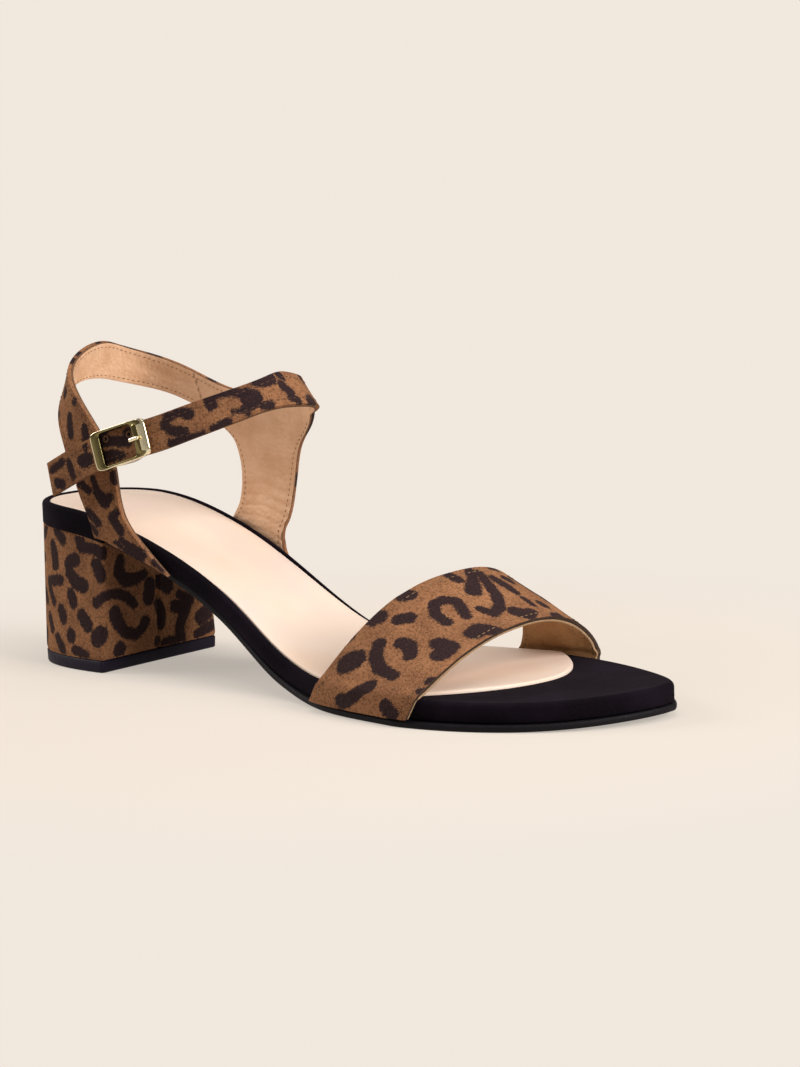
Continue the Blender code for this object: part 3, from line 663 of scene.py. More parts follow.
@dataclass(frozen=True)
class PrintedSuede:
    """Calf suede buffed to a short nap and printed: matt, mottled, with frayed edges to its spots.

    Its hairs are drawn coarser than they are, so that they show.
    """

    name: str = "printed_calf_suede"
    ground: str = "#996a4a"
    ground_dull: str = "#7b5239"
    hair: str = "#ad8462"
    fleck: str = "#583a28"
    spot: str = "#281c20"
    spot_worn: str = "#4a3632"
    bloom: str = "#d8b48c"
    fray_mm: float = 1.3
    fray_reach: float = 0.75
    fibre_mm: float = 0.38
    fibre_reach: float = 0.7
    swell_mm: float = 0.25
    soft_mm: float = 0.45
    speckle_mm: float = 0.75
    mottle_mm: float = 9.0
    nap_mm: float = 0.8

    def build(self) -> Material:
        """Make the material, which reads the spot mark.

        Returns:
            The finished material.
        """
        surface = Surface(
            self.name,
            {"Roughness": 0.95, "Specular IOR Level": 0.1, "Sheen Weight": 0.06, "Sheen Roughness": 0.5,
             "Sheen Tint": linear(self.bloom)})
        tree = surface.tree
        hairs = (self.fibre_mm, 1.0, (0.46, 0.74), (0.0, 0.6))
        ground = surface.clouded(self.ground_dull, self.ground, self.mottle_mm, 4.0, (0.35, 0.65))
        ground = surface.clouded(ground, self.hair, *hairs)
        ground = surface.clouded(ground, self.fleck, self.speckle_mm, 2.0, (0.36, 0.52), (0.62, 0.0))
        printed = surface.clouded(self.spot, self.spot_worn, *hairs)
        edge = add_node(tree, "ShaderNodeAttribute", attribute_name=Mark.SPOT.value).outputs["Fac"]
        for size, detail, reach, swell in (
                (self.fray_mm, 3.0, self.fray_reach, self.swell_mm),
                (self.fibre_mm, 1.0, self.fibre_reach, 0.0)):
            wander = surface.clouds(size, detail, WHOLE, (-reach - swell, reach - swell))
            edge = add_node(tree, "ShaderNodeMath", {0: edge, 1: wander}, operation="ADD").outputs[0]
        dark = add_node(
            tree, "ShaderNodeMapRange",
            {"Value": edge, "From Min": self.soft_mm, "From Max": -self.soft_mm},
            interpolation_type="SMOOTHSTEP").outputs[0]
        colour = add_node(
            tree, "ShaderNodeMix", {0: dark, 6: ground, 7: printed}, data_type="RGBA").outputs[2]
        return surface.dress(colour, surface.clouds(self.nap_mm, 4.0), 0.5, 0.35)


@dataclass(frozen=True)
class BlackSuede:
    """Black goat suede wrapped over the board: near black, brushed in soft plum-tinted patches."""

    name: str = "black_goat_suede"
    colour: str = "#0d090f"
    brushed: str = "#1d1521"
    bloom: str = "#b9a3c0"
    patch_mm: float = 14.0
    nap_mm: float = 0.7

    def build(self) -> Material:
        """Make the material.

        Returns:
            The finished material.
        """
        surface = Surface(
            self.name,
            {"Roughness": 0.95, "Specular IOR Level": 0.06, "Sheen Weight": 0.03, "Sheen Roughness": 0.4,
             "Sheen Tint": linear(self.bloom)})
        tree = surface.tree
        patch = surface.clouds(self.patch_mm, 3.0, (0.42, 0.7), (0.0, 0.6))
        speck = surface.clouds(self.nap_mm, 3.0, (0.5, 0.75), (0.0, 0.5))
        share = add_node(tree, "ShaderNodeMath", {0: patch, 1: speck}, operation="MAXIMUM").outputs[0]
        colour = add_node(
            tree, "ShaderNodeMix", {0: share, 6: linear(self.colour), 7: linear(self.brushed)},
            data_type="RGBA").outputs[2]
        return surface.dress(colour, surface.clouds(self.nap_mm, 3.0), 0.4, 0.3)


@dataclass(frozen=True)
class LiningLeather:
    """Pigskin lining, aniline dyed: tan, finely pebbled, darker in its seam and needle line."""

    name: str = "tan_pigskin_lining"
    colour: str = "#e0b998"
    shade: str = "#cda07b"
    seam: str = "#7d5632"
    blotch_mm: float = 7.0
    pebble_mm: float = 1.1

    def build(self) -> Material:
        """Make the material, which reads the seam mark.

        Returns:
            The finished material.
        """
        surface = Surface(
            self.name,
            {"Roughness": 0.62, "Specular IOR Level": 0.35, "Coat Weight": 0.05, "Coat Roughness": 0.5})
        tree = surface.tree
        colour = surface.clouded(self.colour, self.shade, self.blotch_mm, 4.0, (0.38, 0.7), (0.0, 0.75))
        seam = add_node(tree, "ShaderNodeAttribute", attribute_name=Mark.SEAM.value).outputs["Fac"]
        line = add_node(
            tree, "ShaderNodeMapRange",
            {"Value": seam, "From Min": 0.15, "From Max": 0.7, "To Min": 0.8, "To Max": 0.0}).outputs[0]
        colour = add_node(
            tree, "ShaderNodeMix", {0: line, 6: colour, 7: linear(self.seam)}, data_type="RGBA").outputs[2]
        pebble = add_node(
            tree, "ShaderNodeTexVoronoi", {"Vector": surface.place, "Scale": 1.0 / (self.pebble_mm * MM)},
            feature="SMOOTH_F1").outputs["Distance"]
        return surface.dress(colour, pebble, 0.7, 0.3)


@dataclass(frozen=True)
class SockLeather:
    """Smooth sheep leather sock: pale pinkish beige, softly glazed, with warm blotches."""

    name: str = "beige_sheep_leather"
    colour: str = "#ecd9ca"
    warm: str = "#eccfb9"
    pink: str = "#e6d1c9"
    blotch_mm: float = 38.0
    grain_mm: float = 0.9

    def build(self) -> Material:
        """Make the material.

        Returns:
            The finished material.
        """
        surface = Surface(
            self.name,
            {"Roughness": 0.45, "Specular IOR Level": 0.4, "Coat Weight": 0.12, "Coat Roughness": 0.35})
        colour = surface.clouded(self.colour, self.warm, self.blotch_mm, 2.0, (0.5, 0.72), (0.0, 0.8))
        colour = surface.clouded(colour, self.pink, self.blotch_mm, 2.0, (0.28, 0.48), (0.8, 0.0))
        return surface.dress(colour, surface.clouds(self.grain_mm, 3.0), 0.12, 0.15)


@dataclass(frozen=True)
class MouldedRubber:
    """Moulded rubber, lightly sanded: plum black with a satin face and paler rubbed specks."""

    name: str
    colour: str
    # Colour of the paler rubbed specks; no highlight is painted on the rubber
    rubbed: str
    roughness: float
    dulled: float = 0.2
    speck_mm: float = 1.6

    def build(self) -> Material:
        """Make the material.

        Returns:
            The finished material.
        """
        surface = Surface(self.name, {"Specular IOR Level": 0.16})
        colour = surface.clouded(self.colour, self.rubbed, self.speck_mm, 5.0, (0.5, 0.8), (0.0, 0.7))
        gloss = surface.clouds(self.speck_mm, 5.0, (0.3, 0.8), (self.roughness, self.roughness + self.dulled))
        surface.tree.links.new(gloss, surface.shader.inputs["Roughness"])
        return surface.dress(colour, surface.clouds(self.speck_mm, 5.0), 0.15, 0.1)


@dataclass(frozen=True)
class GiltBrass:
    """Brass plated pale gilt under an olive lacquer, with faint hairlines, and a painted highlight: a pale
    cream colour along its outer rims and over its front lip.
    """

    name: str = "pale_gilt_brass"
    lacquer: str = "#776d48"
    lacquer_thin: str = "#8f8459"
    # Pale cream of the painted highlight along the outer rims, over the front lip and over the prong
    rubbed: str = "#f0e6c4"
    # Distances from the outer rim over which the painted highlight fades into the lacquer
    rub_mm: Pair = (0.2, 0.65)
    roughness: Pair = (0.11, 0.17)
    hairline_mm: float = 0.12
    hairline_stretch: Place = (0.12, 1.0, 1.0)

    def build(self) -> Material:
        """Make the material, which reads the edge mark and paints a highlight where the mark is low.

        Returns:
            The finished material.
        """
        surface = Surface(self.name, {"Metallic": 1.0})
        tree = surface.tree
        surface.place = add_node(
            tree, "ShaderNodeMapping", {"Vector": surface.place, "Scale": self.hairline_stretch}).outputs[0]
        gloss = surface.clouds(self.hairline_mm, 3.0, (0.3, 0.7), self.roughness)
        tree.links.new(gloss, surface.shader.inputs["Roughness"])
        hairs = (self.hairline_mm, 3.0, (0.4, 0.8), (0.0, 0.35))
        coat = surface.clouded(self.lacquer, self.lacquer_thin, *hairs)
        # Painted highlight: the pale cream covers the metal wherever the edge mark is low
        edge = add_node(tree, "ShaderNodeAttribute", attribute_name=Mark.EDGE.value).outputs["Fac"]
        limits = {"From Min": self.rub_mm[0], "From Max": self.rub_mm[1]}
        lacquer_share = add_node(tree, "ShaderNodeMapRange", {"Value": edge, **limits}).outputs[0]
        colour = add_node(
            tree, "ShaderNodeMix", {0: lacquer_share, 6: linear(self.rubbed), 7: coat}, data_type="RGBA").outputs[2]
        return surface.dress(colour)


@dataclass(frozen=True)
class Fibre:
    """Raw fibre, as in a cut leather edge or a bonded thread: matt, a little uneven."""

    name: str
    colour: str
    shade: str
    fleck_mm: float = 0.6

    def build(self) -> Material:
        """Make the material.

        Returns:
            The finished material.
        """
        surface = Surface(self.name, {"Roughness": 0.85, "Specular IOR Level": 0.2})
        colour = surface.clouded(self.colour, self.shade, self.fleck_mm, 2.0, (0.35, 0.7))
        return surface.dress(colour, surface.clouds(self.fleck_mm, 2.0), 0.3, 0.15)


class Finish(Enum):
    """Every finish of the shoe."""

    PRINTED = PrintedSuede()
    FOOTBED = BlackSuede()
    LINING = LiningLeather()
    # A darker copy of the tan lining for the toe strap: painted shade
    TOE_LINING = LiningLeather("brown_pigskin_lining", "#b58a5c", "#94693c")
    SOCK = SockLeather()
    OUTSOLE = MouldedRubber("black_resin_outsole", "#0b0810", "#1d1518", 0.55)
    TOP_PIECE = MouldedRubber("black_top_piece_rubber", "#150e20", "#221832", 0.5)
    GILT = GiltBrass()
    SUEDE_EDGE = Fibre("inked_suede_edge", "#4b3a31", "#35291f")
    LINING_EDGE = Fibre("raw_lining_edge", "#bb9c7c", "#9c7c5c")
    TURNED_EDGE = Fibre("painted_lining_edge", "#7a5a42", "#5b4030")
    SUEDE_THREAD = Fibre("tan_polyester_thread", "#8d7154", "#6b543d")
    QUARTER_THREAD = Fibre("dark_brown_polyester_thread", "#634838", "#463228")
    # Near black disc at the bottom of each strap hole: painted shadow
    HOLE = Fibre("punched_hole_bottom", "#150d0c", "#0d0807")
    LINING_THREAD = Fibre("brown_polyester_thread", "#86603f", "#5f4028")

    def material(self) -> Material:
        """Material of the finish, made once."""
        return bpy.data.materials.get(self.value.name) or self.value.build()


# Forms of the last


@dataclass
class Last:
    """Shared form of the shoe: footbed plan, profile and ankle wall."""

    foot_length: float = 238.0
    seam_gap: float = 0.3
    plan: Table = (
        (0.0, 24.6, 24.6), (30.0, 24.6, 24.6), (60.0, 24.1, 23.1), (90.0, 23.6, 21.0), (120.0, 28.4, 24.6),
        (150.0, 38.0, 34.9), (175.0, 41.9, 39.4))
    heel_round: float = 27.0
    ball_x: float = 175.0
    toe_tip_y: float = 7.8
    toe_power: Pair = (1.8, 2.0)
    toe_fullness: Pair = (0.53, 0.74)
    profile: Table = (
        (0.0, 53.6), (30.0, 52.2), (60.0, 44.6), (90.0, 30.6), (120.0, 12.8), (150.0, 8.3), (175.0, 8.2),
        (200.0, 8.2), (222.0, 8.8), (240.0, 10.4))
    footbed_thickness: float = 5.8
    seat_thickness: float = 7.8
    outsole_thickness: float = 2.0
    breast_x: float = 42.3
    seat_overlap: float = 0.8
    strap_wall: float = 2.2
    wall_height: float = 85.0
    wall_path: Table = (
        (80.0, -24.6, 1.0), (60.0, -25.7, 1.0), (45.0, -26.0, 2.0), (32.0, -24.6, 6.0), (22.3, -19.8, 16.0),
        (15.0, -11.0, 22.0), (12.2, 0.0, 23.0), (14.4, 11.0, 20.0), (21.5, 19.0, 13.0), (33.0, 22.2, 8.0),
        (50.0, 22.8, 5.0), (70.0, 22.4, 4.0), (84.0, 21.6, 8.0), (95.0, 18.4, 23.0), (104.0, 10.4, 36.0),
        (107.8, 0.0, 39.0), (105.4, -10.0, 36.0), (98.0, -18.0, 26.0), (85.0, -25.0, 13.0),
        (70.0, -29.4, 6.0), (57.0, -31.4, 3.0), (40.0, -32.0, 2.0), (20.0, -31.4, 2.0))
    back_row: int = 6
    hug_low: float = 2.0
    hug_high: float = 26.0
    outer_hug: Pair = (-80.0, -36.0)
    inner_hug: Pair = (36.0, 100.0)
    seat_sections: float = 2.0
    probe: float = 0.5

    def __post_init__(self) -> None:
        """Make the curves from the tables."""
        plan = np.array(self.plan)
        self.half = {side: steady_curve(plan[:, 0], plan[:, 1 + k]) for k, side in enumerate(Side)}
        profile = np.array(self.profile)
        self.rim = even_curve(profile[:, 0], profile[:, 1])
        path = np.array(self.wall_path)
        places = run_along(path[:, :2])
        places = places - places[self.back_row]
        self.wall_x, self.wall_y, self.wall_lean = (even_curve(places, path[:, k]) for k in range(3))
        self.side_offset = self.seam_gap + self.strap_wall / 2
        self.seat_end_x = self.breast_x - self.seat_overlap
        self.sole_thickness = self.footbed_thickness + self.seam_gap + self.outsole_thickness
        self.ball_lift = float(self.rim(np.array(self.ball_x))) - self.sole_thickness

    def edge(self, x: Array, side: Side) -> Array:
        """Sideways place of the footbed's edge.

        Args:
            x: Places along the foot.
            side: Outer or inner half.

        Returns:
            The edge's y at each place.
        """
        sign = side.value
        half = self.half[side](x)
        heel = np.sqrt(np.clip(1 - (1 - x / self.heel_round) ** 2, 0.0, None))
        half = np.where(x < self.heel_round, half * heel, half)
        part = np.clip((x - self.ball_x) / (self.foot_length - self.ball_x), 0.0, 1.0)
        index = 0 if side is Side.OUTER else 1
        tip = sign * self.toe_tip_y
        toe = tip + (half - tip) * (1 - part ** self.toe_power[index]) ** self.toe_fullness[index]
        return sign * np.where(x > self.ball_x, toe, half)

    def beside(self, x: Array, side: Side) -> Array:
        """Sideways place of a strap's middle where it lies beside the footbed."""
        return self.edge(x, side) + side.value * self.side_offset

    def slope(self, x: Array) -> Array:
        """Vertical depth of a layer of unit thickness that follows the profile."""
        rise = (self.rim(x + self.probe) - self.rim(x - self.probe)) / (2 * self.probe)
        return np.sqrt(1 + rise * rise)

    def footbed_base(self, x: Array) -> Array:
        """Height of the footbed's underside, thicker over the heel seat."""
        thickness = np.where(x < self.seat_end_x, self.seat_thickness, self.footbed_thickness)
        return self.rim(x) - thickness * self.slope(x)

    def outsole_base(self, x: Array) -> Array:
        """Height of the outsole's underside, flat on the floor under the ball."""
        depth = self.sole_thickness * self.slope(x)
        return np.maximum(0.0, self.rim(x) - depth - self.ball_lift)

    def wall(self, s: Array, z: Array, out: float = 0.0) -> Array:
        """Place on the ankle wall.

        Args:
            s: Distance along the wall from the back seam.
            z: Height.
            out: Distance outward from the middle of the strap.

        Returns:
            Places in millimetres.
        """
        ahead = unit(np.stack(
            [curve(s + self.probe) - curve(s - self.probe) for curve in (self.wall_x, self.wall_y)], -1))
        shift = (self.wall_height - z) * np.tan(np.radians(self.wall_lean(s))) + out
        x = self.wall_x(s) - ahead[..., 1] * shift
        y = self.wall_y(s) + ahead[..., 0] * shift
        hug = 1 - ease((z - self.rim(x) - self.hug_low) / (self.hug_high - self.hug_low))
        for side, (start, end) in ((Side.OUTER, self.outer_hug), (Side.INNER, self.inner_hug)):
            beside = self.beside(x, side) + side.value * out
            here = (s > start) & (s < end)
            y = np.where(here, y + (beside - y) * hug, y)
        return np.stack([x, y, z], -1)

    def seated(self, pattern: tuple[Array, Array], foot: tuple[Array, Array], above: Array) -> Array:
        """Lay a strap on the ankle wall, its foot level with the footbed's underside.

        Args:
            pattern: Distance along the wall and height of each place.
            foot: The same of the foot below it.
            above: Sections between the two.

        Returns:
            Places in millimetres.
        """
        points, below = self.wall(*pattern), self.wall(*foot)
        level = self.footbed_base(np.maximum(below[..., 0], self.breast_x)) + self.seam_gap / 2
        points[..., 2] += (level - below[..., 2]) * np.clip(1 - above / self.seat_sections, 0.0, 1.0)
        return points

    def ring(self, places: Array, edge: Edge, inset: Array | float, flat_back: bool = False) -> Array:
        """Closed plan outline: outer side heel to toe, then the inner side back.

        Args:
            places: Places along the foot.
            edge: Sideways place of the outline for an array of places and a side.
            inset: How far the outline is moved in, one number or one for each ring point.
            flat_back: True where the back end is cut straight across.

        Returns:
            Plan points in millimetres.
        """
        outer = np.stack([places, edge(places, Side.OUTER)], -1)
        inner = np.stack([places, edge(places, Side.INNER)], -1)[::-1]
        ring = np.concatenate([outer, inner])
        ahead = unit(np.roll(ring, -1, axis=0) - np.roll(ring, 1, axis=0))
        inward = np.stack([-ahead[:, 1], ahead[:, 0]], -1)
        if flat_back:
            inward[0], inward[-1] = (0.0, 1.0), (0.0, -1.0)
        return ring + inward * np.reshape(inset, (-1, 1))


def stations(start: float, end: float, count: int, round_start: bool = True) -> Array:
    """Places along the foot, closer together at its round ends.

    Args:
        start: First place.
        end: Last place.
        count: How many places.
        round_start: False where the start is cut straight.

    Returns:
        The places in millimetres.
    """
    angle = np.linspace(0.0 if round_start else math.pi / 2, math.pi, count)
    part = 0.5 - 0.5 * np.cos(angle)
    part = (part - part[0]) / (part[-1] - part[0])
    return start + (end - start) * part


# Sole and heel


@dataclass
class Sole:
    """Footbed wrapped in black suede, its leather sock and the thin outsole."""

    last: Last
    count: int = 170
    across: int = 10
    sock_across: int = 14
    # Inset, share of the height, rise and share of the recess at each level of the footbed's side
    side_levels: Table = ((0.4, 0.0, 0.0, 0.0), (0.0, 0.0, 0.5, 0.0), (0.0, 0.5, 0.0, 0.0))
    rim_round: float = 1.6
    rim_steps: int = 6
    recess_inset: float = 2.0
    recess_depth: Table = ((0.0, 1.6), (75.0, 1.6), (100.0, 1.0), (130.0, 0.4), (160.0, 0.0), (240.0, 0.0))
    # Share of the way in and of the way down along the recess's wall
    recess_wall: Table = ((0.3, 0.08), (0.65, 0.3), (0.9, 0.65), (1.0, 1.0))
    seat_step: float = 0.05
    tip_trim: float = 0.3
    sock_border: float = 2.5
    # Inset and rise along the sock's rolled edge
    sock_levels: Table = ((0.0, -0.2), (0.0, 0.35), (0.15, 0.62), (0.5, 0.8))
    sock_front: Pair = (199.5, 3.0)
    sock_front_trim: float = 0.01
    sock_front_half: Pair = (40.0, 33.0)
    sock_front_depth: float = 20.0
    outsole_edge: Table = ((42.0, -1.2), (90.0, -0.6), (135.0, 1.2), (160.0, 1.6), (215.0, 1.4), (240.0, 0.5))
    # Inset and share of the height along the outsole's buffed edge
    outsole_levels: Table = ((0.6, 0.0), (0.18, 0.1), (0.0, 0.3), (0.0, 0.7), (0.18, 0.9), (0.6, 1.0))

    def __post_init__(self) -> None:
        """Make the curves of the sock's recess and of the outsole's edge."""
        self.recess = steady_curve(*np.array(self.recess_depth).T)
        self.beyond = steady_curve(*np.array(self.outsole_edge).T)

    def build(self) -> None:
        """Build and dress the three layers."""
        self.build_footbed()
        self.build_sock()
        self.build_outsole()

    def build_footbed(self) -> None:
        """Board with its suede turned over a round top edge, down into the sock's recess."""
        last = self.last
        places = stations(self.tip_trim, last.foot_length - self.tip_trim, self.count)
        step = np.array((last.seat_end_x - self.seat_step, last.seat_end_x + self.seat_step))
        places = np.sort(np.append(places, step))
        levels = list(self.side_levels)
        for angle in np.linspace(0, math.pi / 2, self.rim_steps):
            inset = self.rim_round * (1 - math.cos(angle))
            levels.append((inset, 1.0, self.rim_round * (math.sin(angle) - 1), 0.0))
        for share, sunk in self.recess_wall:
            levels.append((self.rim_round + (self.recess_inset - self.rim_round) * share, 1.0, 0.0, sunk))
        rings = []
        for inset, part, rise, sunk in levels:
            plan = last.ring(places, last.edge, inset)
            base = last.footbed_base(plan[:, 0])
            height = base + (last.rim(plan[:, 0]) - base) * part + rise - self.recess(plan[:, 0]) * sunk
            rings.append(np.column_stack([plan, height]))
        make_piece(
            "footbed_wrap", loft(rings, self.across), Slot.BLACK_SUEDE, [Finish.FOOTBED], ["footbed"])

    def sock_edge(self, x: Array, side: Side) -> Array:
        """Sock plan: inside the footbed's edge, closed by a heel round and the front arc.

        Args:
            x: Places along the foot.
            side: Outer or inner half.

        Returns:
            The sock edge's y at each place.
        """
        last = self.last
        reach = np.sqrt(np.clip((self.sock_front[0] - x) / self.sock_front_depth, 0.0, None))
        arc_half = self.sock_front_half[0 if side is Side.OUTER else 1]
        arc = self.sock_front[1] + side.value * arc_half * reach
        half = last.half[side](x) - self.sock_border
        short = 1 - (x - self.sock_border) / (last.heel_round - self.sock_border)
        heel = side.value * half * np.sqrt(np.clip(1 - short * short, 0.0, None))
        inside = np.where(x < last.heel_round, heel, last.edge(x, side) - side.value * self.sock_border)
        return np.minimum(inside, arc) if side is Side.INNER else np.maximum(inside, arc)

    def build_sock(self) -> None:
        """Thin leather sheet lying in the footbed's recess, its edge rolled down."""
        last = self.last
        front = self.sock_front[0] - self.sock_front_trim
        places = stations(self.sock_border + self.tip_trim, front, self.count)
        rings = []
        for inset, rise in self.sock_levels:
            plan = last.ring(places, self.sock_edge, inset)
            height = last.rim(plan[:, 0]) - self.recess(plan[:, 0]) + last.seam_gap + rise
            rings.append(np.column_stack([plan, height]))
        make_piece(
            "sock", loft(rings, self.sock_across), Slot.BEIGE_LEATHER, [Finish.SOCK], ["insole_sock"])

    def build_outsole(self) -> None:
        """Thin sheet under the footbed from the heel breast to the toe, its edge buffed round."""
        last = self.last
        places = stations(last.breast_x, last.foot_length - self.tip_trim, self.count, round_start=False)
        along = np.concatenate([places, places[::-1]])
        rings = []
        for inset, part in self.outsole_levels:
            plan = last.ring(places, last.edge, inset - self.beyond(along), flat_back=True)
            base = last.outsole_base(plan[:, 0])
            top = last.footbed_base(np.maximum(plan[:, 0], last.breast_x)) - last.seam_gap
            rings.append(np.column_stack([plan, base + (top - base) * part]))
        make_piece(
            "outsole_sheet", loft(rings, self.across), Slot.BLACK_RUBBER, [Finish.OUTSOLE], ["outsole"])


@dataclass
class Heel:
    """Block covered in printed suede, with a flat breast, on a black top piece."""

    last: Last
    top_half: float = 24.2
    base_half: float = 27.4
    top_back: float = 0.6
    base_back: float = 1.6
    square: float = 0.76
    base_z: float = 4.22
    seat_gap: float = 0.1
    plan_points: int = 60
    around: int = 340
    levels: int = 92
    across: int = 8
    corner_round: float = 0.8
    corner_reach: int = 6
    seam_width: float = 0.55
    seam_depth: float = 0.9
    turn_in: float = 0.35
    turn_level: float = 0.0125
    # Inset and height up the side of the top piece
    top_piece_levels: Table = ((0.9, 0.0), (0.4, 0.15), (0.2, 0.5), (0.1, 3.6), (0.3, 3.95), (0.8, 4.1))
    # Area, tries and seed of the loose spots on the inner side and on the breast
    loose_spots: tuple = (((56.0, 78.0, 5.0, 45.0), 260, 11), ((-78.0, -26.0, 5.0, 45.0), 420, 12))

    def __post_init__(self) -> None:
        """Measure the way round the block at half height."""
        self.measure = run_along(self.outline(0.5))
        self.places = (np.arange(self.around) + 0.5) / self.around * self.measure[-1]

    def outline(self, level: float, inset: float = 0.0) -> Array:
        """Plan from the middle of the breast round the outer side, the back and the inner side.

        Args:
            level: 0 at the base of the block, 1 under the footbed.
            inset: How far the plan is moved in.

        Returns:
            Plan points in millimetres, the same count at every level.
        """
        half = self.base_half + (self.top_half - self.base_half) * level - inset
        back = self.base_back + (self.top_back - self.base_back) * level + inset
        front = self.last.breast_x - inset
        angle = np.linspace(math.pi / 2, 0.0, self.plan_points)
        x = front - (front - back) * np.cos(angle).clip(0) ** self.square
        y = half * np.sin(angle).clip(0) ** self.square
        outer = np.stack([x, -y], -1)
        inner = np.stack([x, y], -1)[::-1][1:]
        middle = np.array([(front, 0.0)])
        return np.concatenate([middle, outer, inner, middle])

    def ring(self, level: float, inset: float = 0.0) -> Array:
        """Even ring at a level, with its breast corners rounded.

        Args:
            level: 0 at the base of the block, 1 under the footbed.
            inset: How far the ring is moved in.

        Returns:
            Plan points in millimetres.
        """
        plan = self.outline(level, inset)
        ring = np.stack([np.interp(self.places, self.measure, plan[:, k]) for k in range(2)], -1)
        spread = self.corner_round / (self.measure[-1] / self.around)
        reach = np.arange(-self.corner_reach, self.corner_reach + 1)
        weight = np.exp(-0.5 * (reach / spread) ** 2)
        weight = weight / weight.sum()
        return sum(w * np.roll(ring, -k, axis=0) for k, w in zip(reach, weight))

    def build(self) -> None:
        """Build and dress the block and its top piece."""
        last = self.last
        length = self.measure[-1]
        around = np.where(self.places > length / 2, self.places - length, self.places)
        groove = self.seam_depth * np.exp(-0.5 * (around / self.seam_width) ** 2)
        rings = []
        for level in np.linspace(0, 1, self.levels + 1):
            plan = self.ring(level)
            top = last.footbed_base(np.minimum(plan[:, 0], last.seat_end_x - self.seat_gap)) - self.seat_gap
            height = self.base_z + (top - self.base_z) * level
            turned = self.turn_in * math.exp(-0.5 * (level / self.turn_level) ** 2)
            plan = plan - unit(plan - plan.mean(axis=0)) * turned
            rings.append(np.column_stack([plan[:, 0] - groove, plan[:, 1], height]))
        chart = HEEL_SPOTS
        for area, tries, seed in self.loose_spots:
            chart = chart.scattered(area, tries, seed)
        heights = np.array(rings)[:, :, 2]
        marks = {Mark.SPOT: chart.depth(np.broadcast_to(around, heights.shape), heights)}
        bm = loft(rings, self.across, marks)
        make_piece("heel_cover", bm, Slot.SPOTTED_SUEDE, [Finish.PRINTED], ["heel_block"])
        self.build_top_piece()

    def build_top_piece(self) -> None:
        """Flat black top piece that stands on the floor, a shade inside the cover."""
        rings = []
        for inset, height in self.top_piece_levels:
            plan = self.ring(0.0, inset)
            rings.append(np.column_stack([plan, np.full(len(plan), height)]))
        bm = loft(rings, self.across)
        make_piece("top_piece", bm, Slot.BLACK_RUBBER, [Finish.TOP_PIECE], ["heel_top_piece"])


# Straps


class Patch:
    """Curved sheet laid on the last, a function of two shares from 0 to 1."""

    facing: float = 1.0
    probe: float = 0.002

    def at(self, p: Array, q: Array) -> Array:
        """Places in millimetres on the middle of the strap."""
        raise NotImplementedError

    def pattern(self, p: Array, q: Array) -> tuple[Array, Array]:
        """Distance along and height of each place before its foot is seated."""
        raise NotImplementedError

    def chart(self, p: Array, q: Array) -> tuple[Array, Array]:
        """Flat coordinates in millimetres that spots and creases are charted in."""
        return self.pattern(p, q)[0], self.at(p, q)[..., 2]

    def outward(self, p: Array, q: Array) -> Array:
        """Directions away from the foot.

        Args:
            p: First share of each place.
            q: Second share of each place.

        Returns:
            Unit normals.
        """
        step = self.probe
        ahead = self.at(np.minimum(p + step, 1.0), q) - self.at(np.maximum(p - step, 0.0), q)
        aside = self.at(p, np.minimum(q + step, 1.0)) - self.at(p, np.maximum(q - step, 0.0))
        return self.facing * unit(np.cross(ahead, aside))

    def add(self, bm: Mesh, columns: int, rows: int, lift: Relief, marks: dict[Mark, Relief]) -> None:
        """Lay the patch as a grid.

        Args:
            bm: Mesh that takes the grid.
            columns: Quads along the first share.
            rows: Quads along the second share.
            lift: Height above the middle of the strap, for chart coordinates.
            marks: Value of each vertex mark, for chart coordinates.
        """
        faces = add_sheet(
            bm, columns, rows,
            lambda p, q: self.at(p, q) + self.outward(p, q) * lift(*self.chart(p, q))[:, None],
            {mark: (lambda p, q, value=value: value(*self.chart(p, q))) for mark, value in marks.items()})
        if self.facing < 0:
            bmesh.ops.reverse_faces(bm, faces=faces)


@dataclass
class Stitching:
    """Rows of thread: one flattened bead for each stitch, joined in one mesh."""

    pitch: float = 2.1
    length: float = 1.5
    radius: float = 0.19
    flatness: float = 0.8
    probe: float = 0.5

    def add_row(self, bm: Mesh, patch: Patch, p: Array, q: Array, lift: float) -> None:
        """Sew a row along a path on a patch.

        Args:
            bm: Mesh that takes the stitches.
            patch: Sheet that is sewn.
            p: First share at points along the path.
            q: Second share at the same points.
            lift: Height of the row from the middle of the strap, negative on the lining.
        """
        run = run_along(patch.at(p, q))
        count = max(1, int(run[-1] / self.pitch))
        places = (np.arange(count) + 0.5) * run[-1] / count
        here = [np.interp(places, run, share) for share in (p, q)]
        behind = [np.interp(places - self.probe, run, share) for share in (p, q)]
        out = patch.outward(*here) * math.copysign(1.0, lift)
        middle = patch.at(*here) + out * abs(lift)
        along = patch.at(*here) - patch.at(*behind)
        size = Matrix.Diagonal(
            (self.length / 2 * MM, self.radius * MM, self.radius * self.flatness * MM, 1.0))
        for point, ahead, up in zip(in_frame(middle), along, out):
            first = Vector(ahead).normalized()
            third = Vector(up)
            second = third.cross(first).normalized()
            turn = Matrix((first, second, third)).transposed().to_4x4()
            bmesh.ops.create_uvsphere(
                bm, u_segments=6, v_segments=6, radius=1.0,
                matrix=Matrix.Translation(point) @ turn @ size)


TOP_STITCHING = Stitching()
LINING_STITCHING = Stitching(pitch=1.8, length=1.0, radius=0.15)


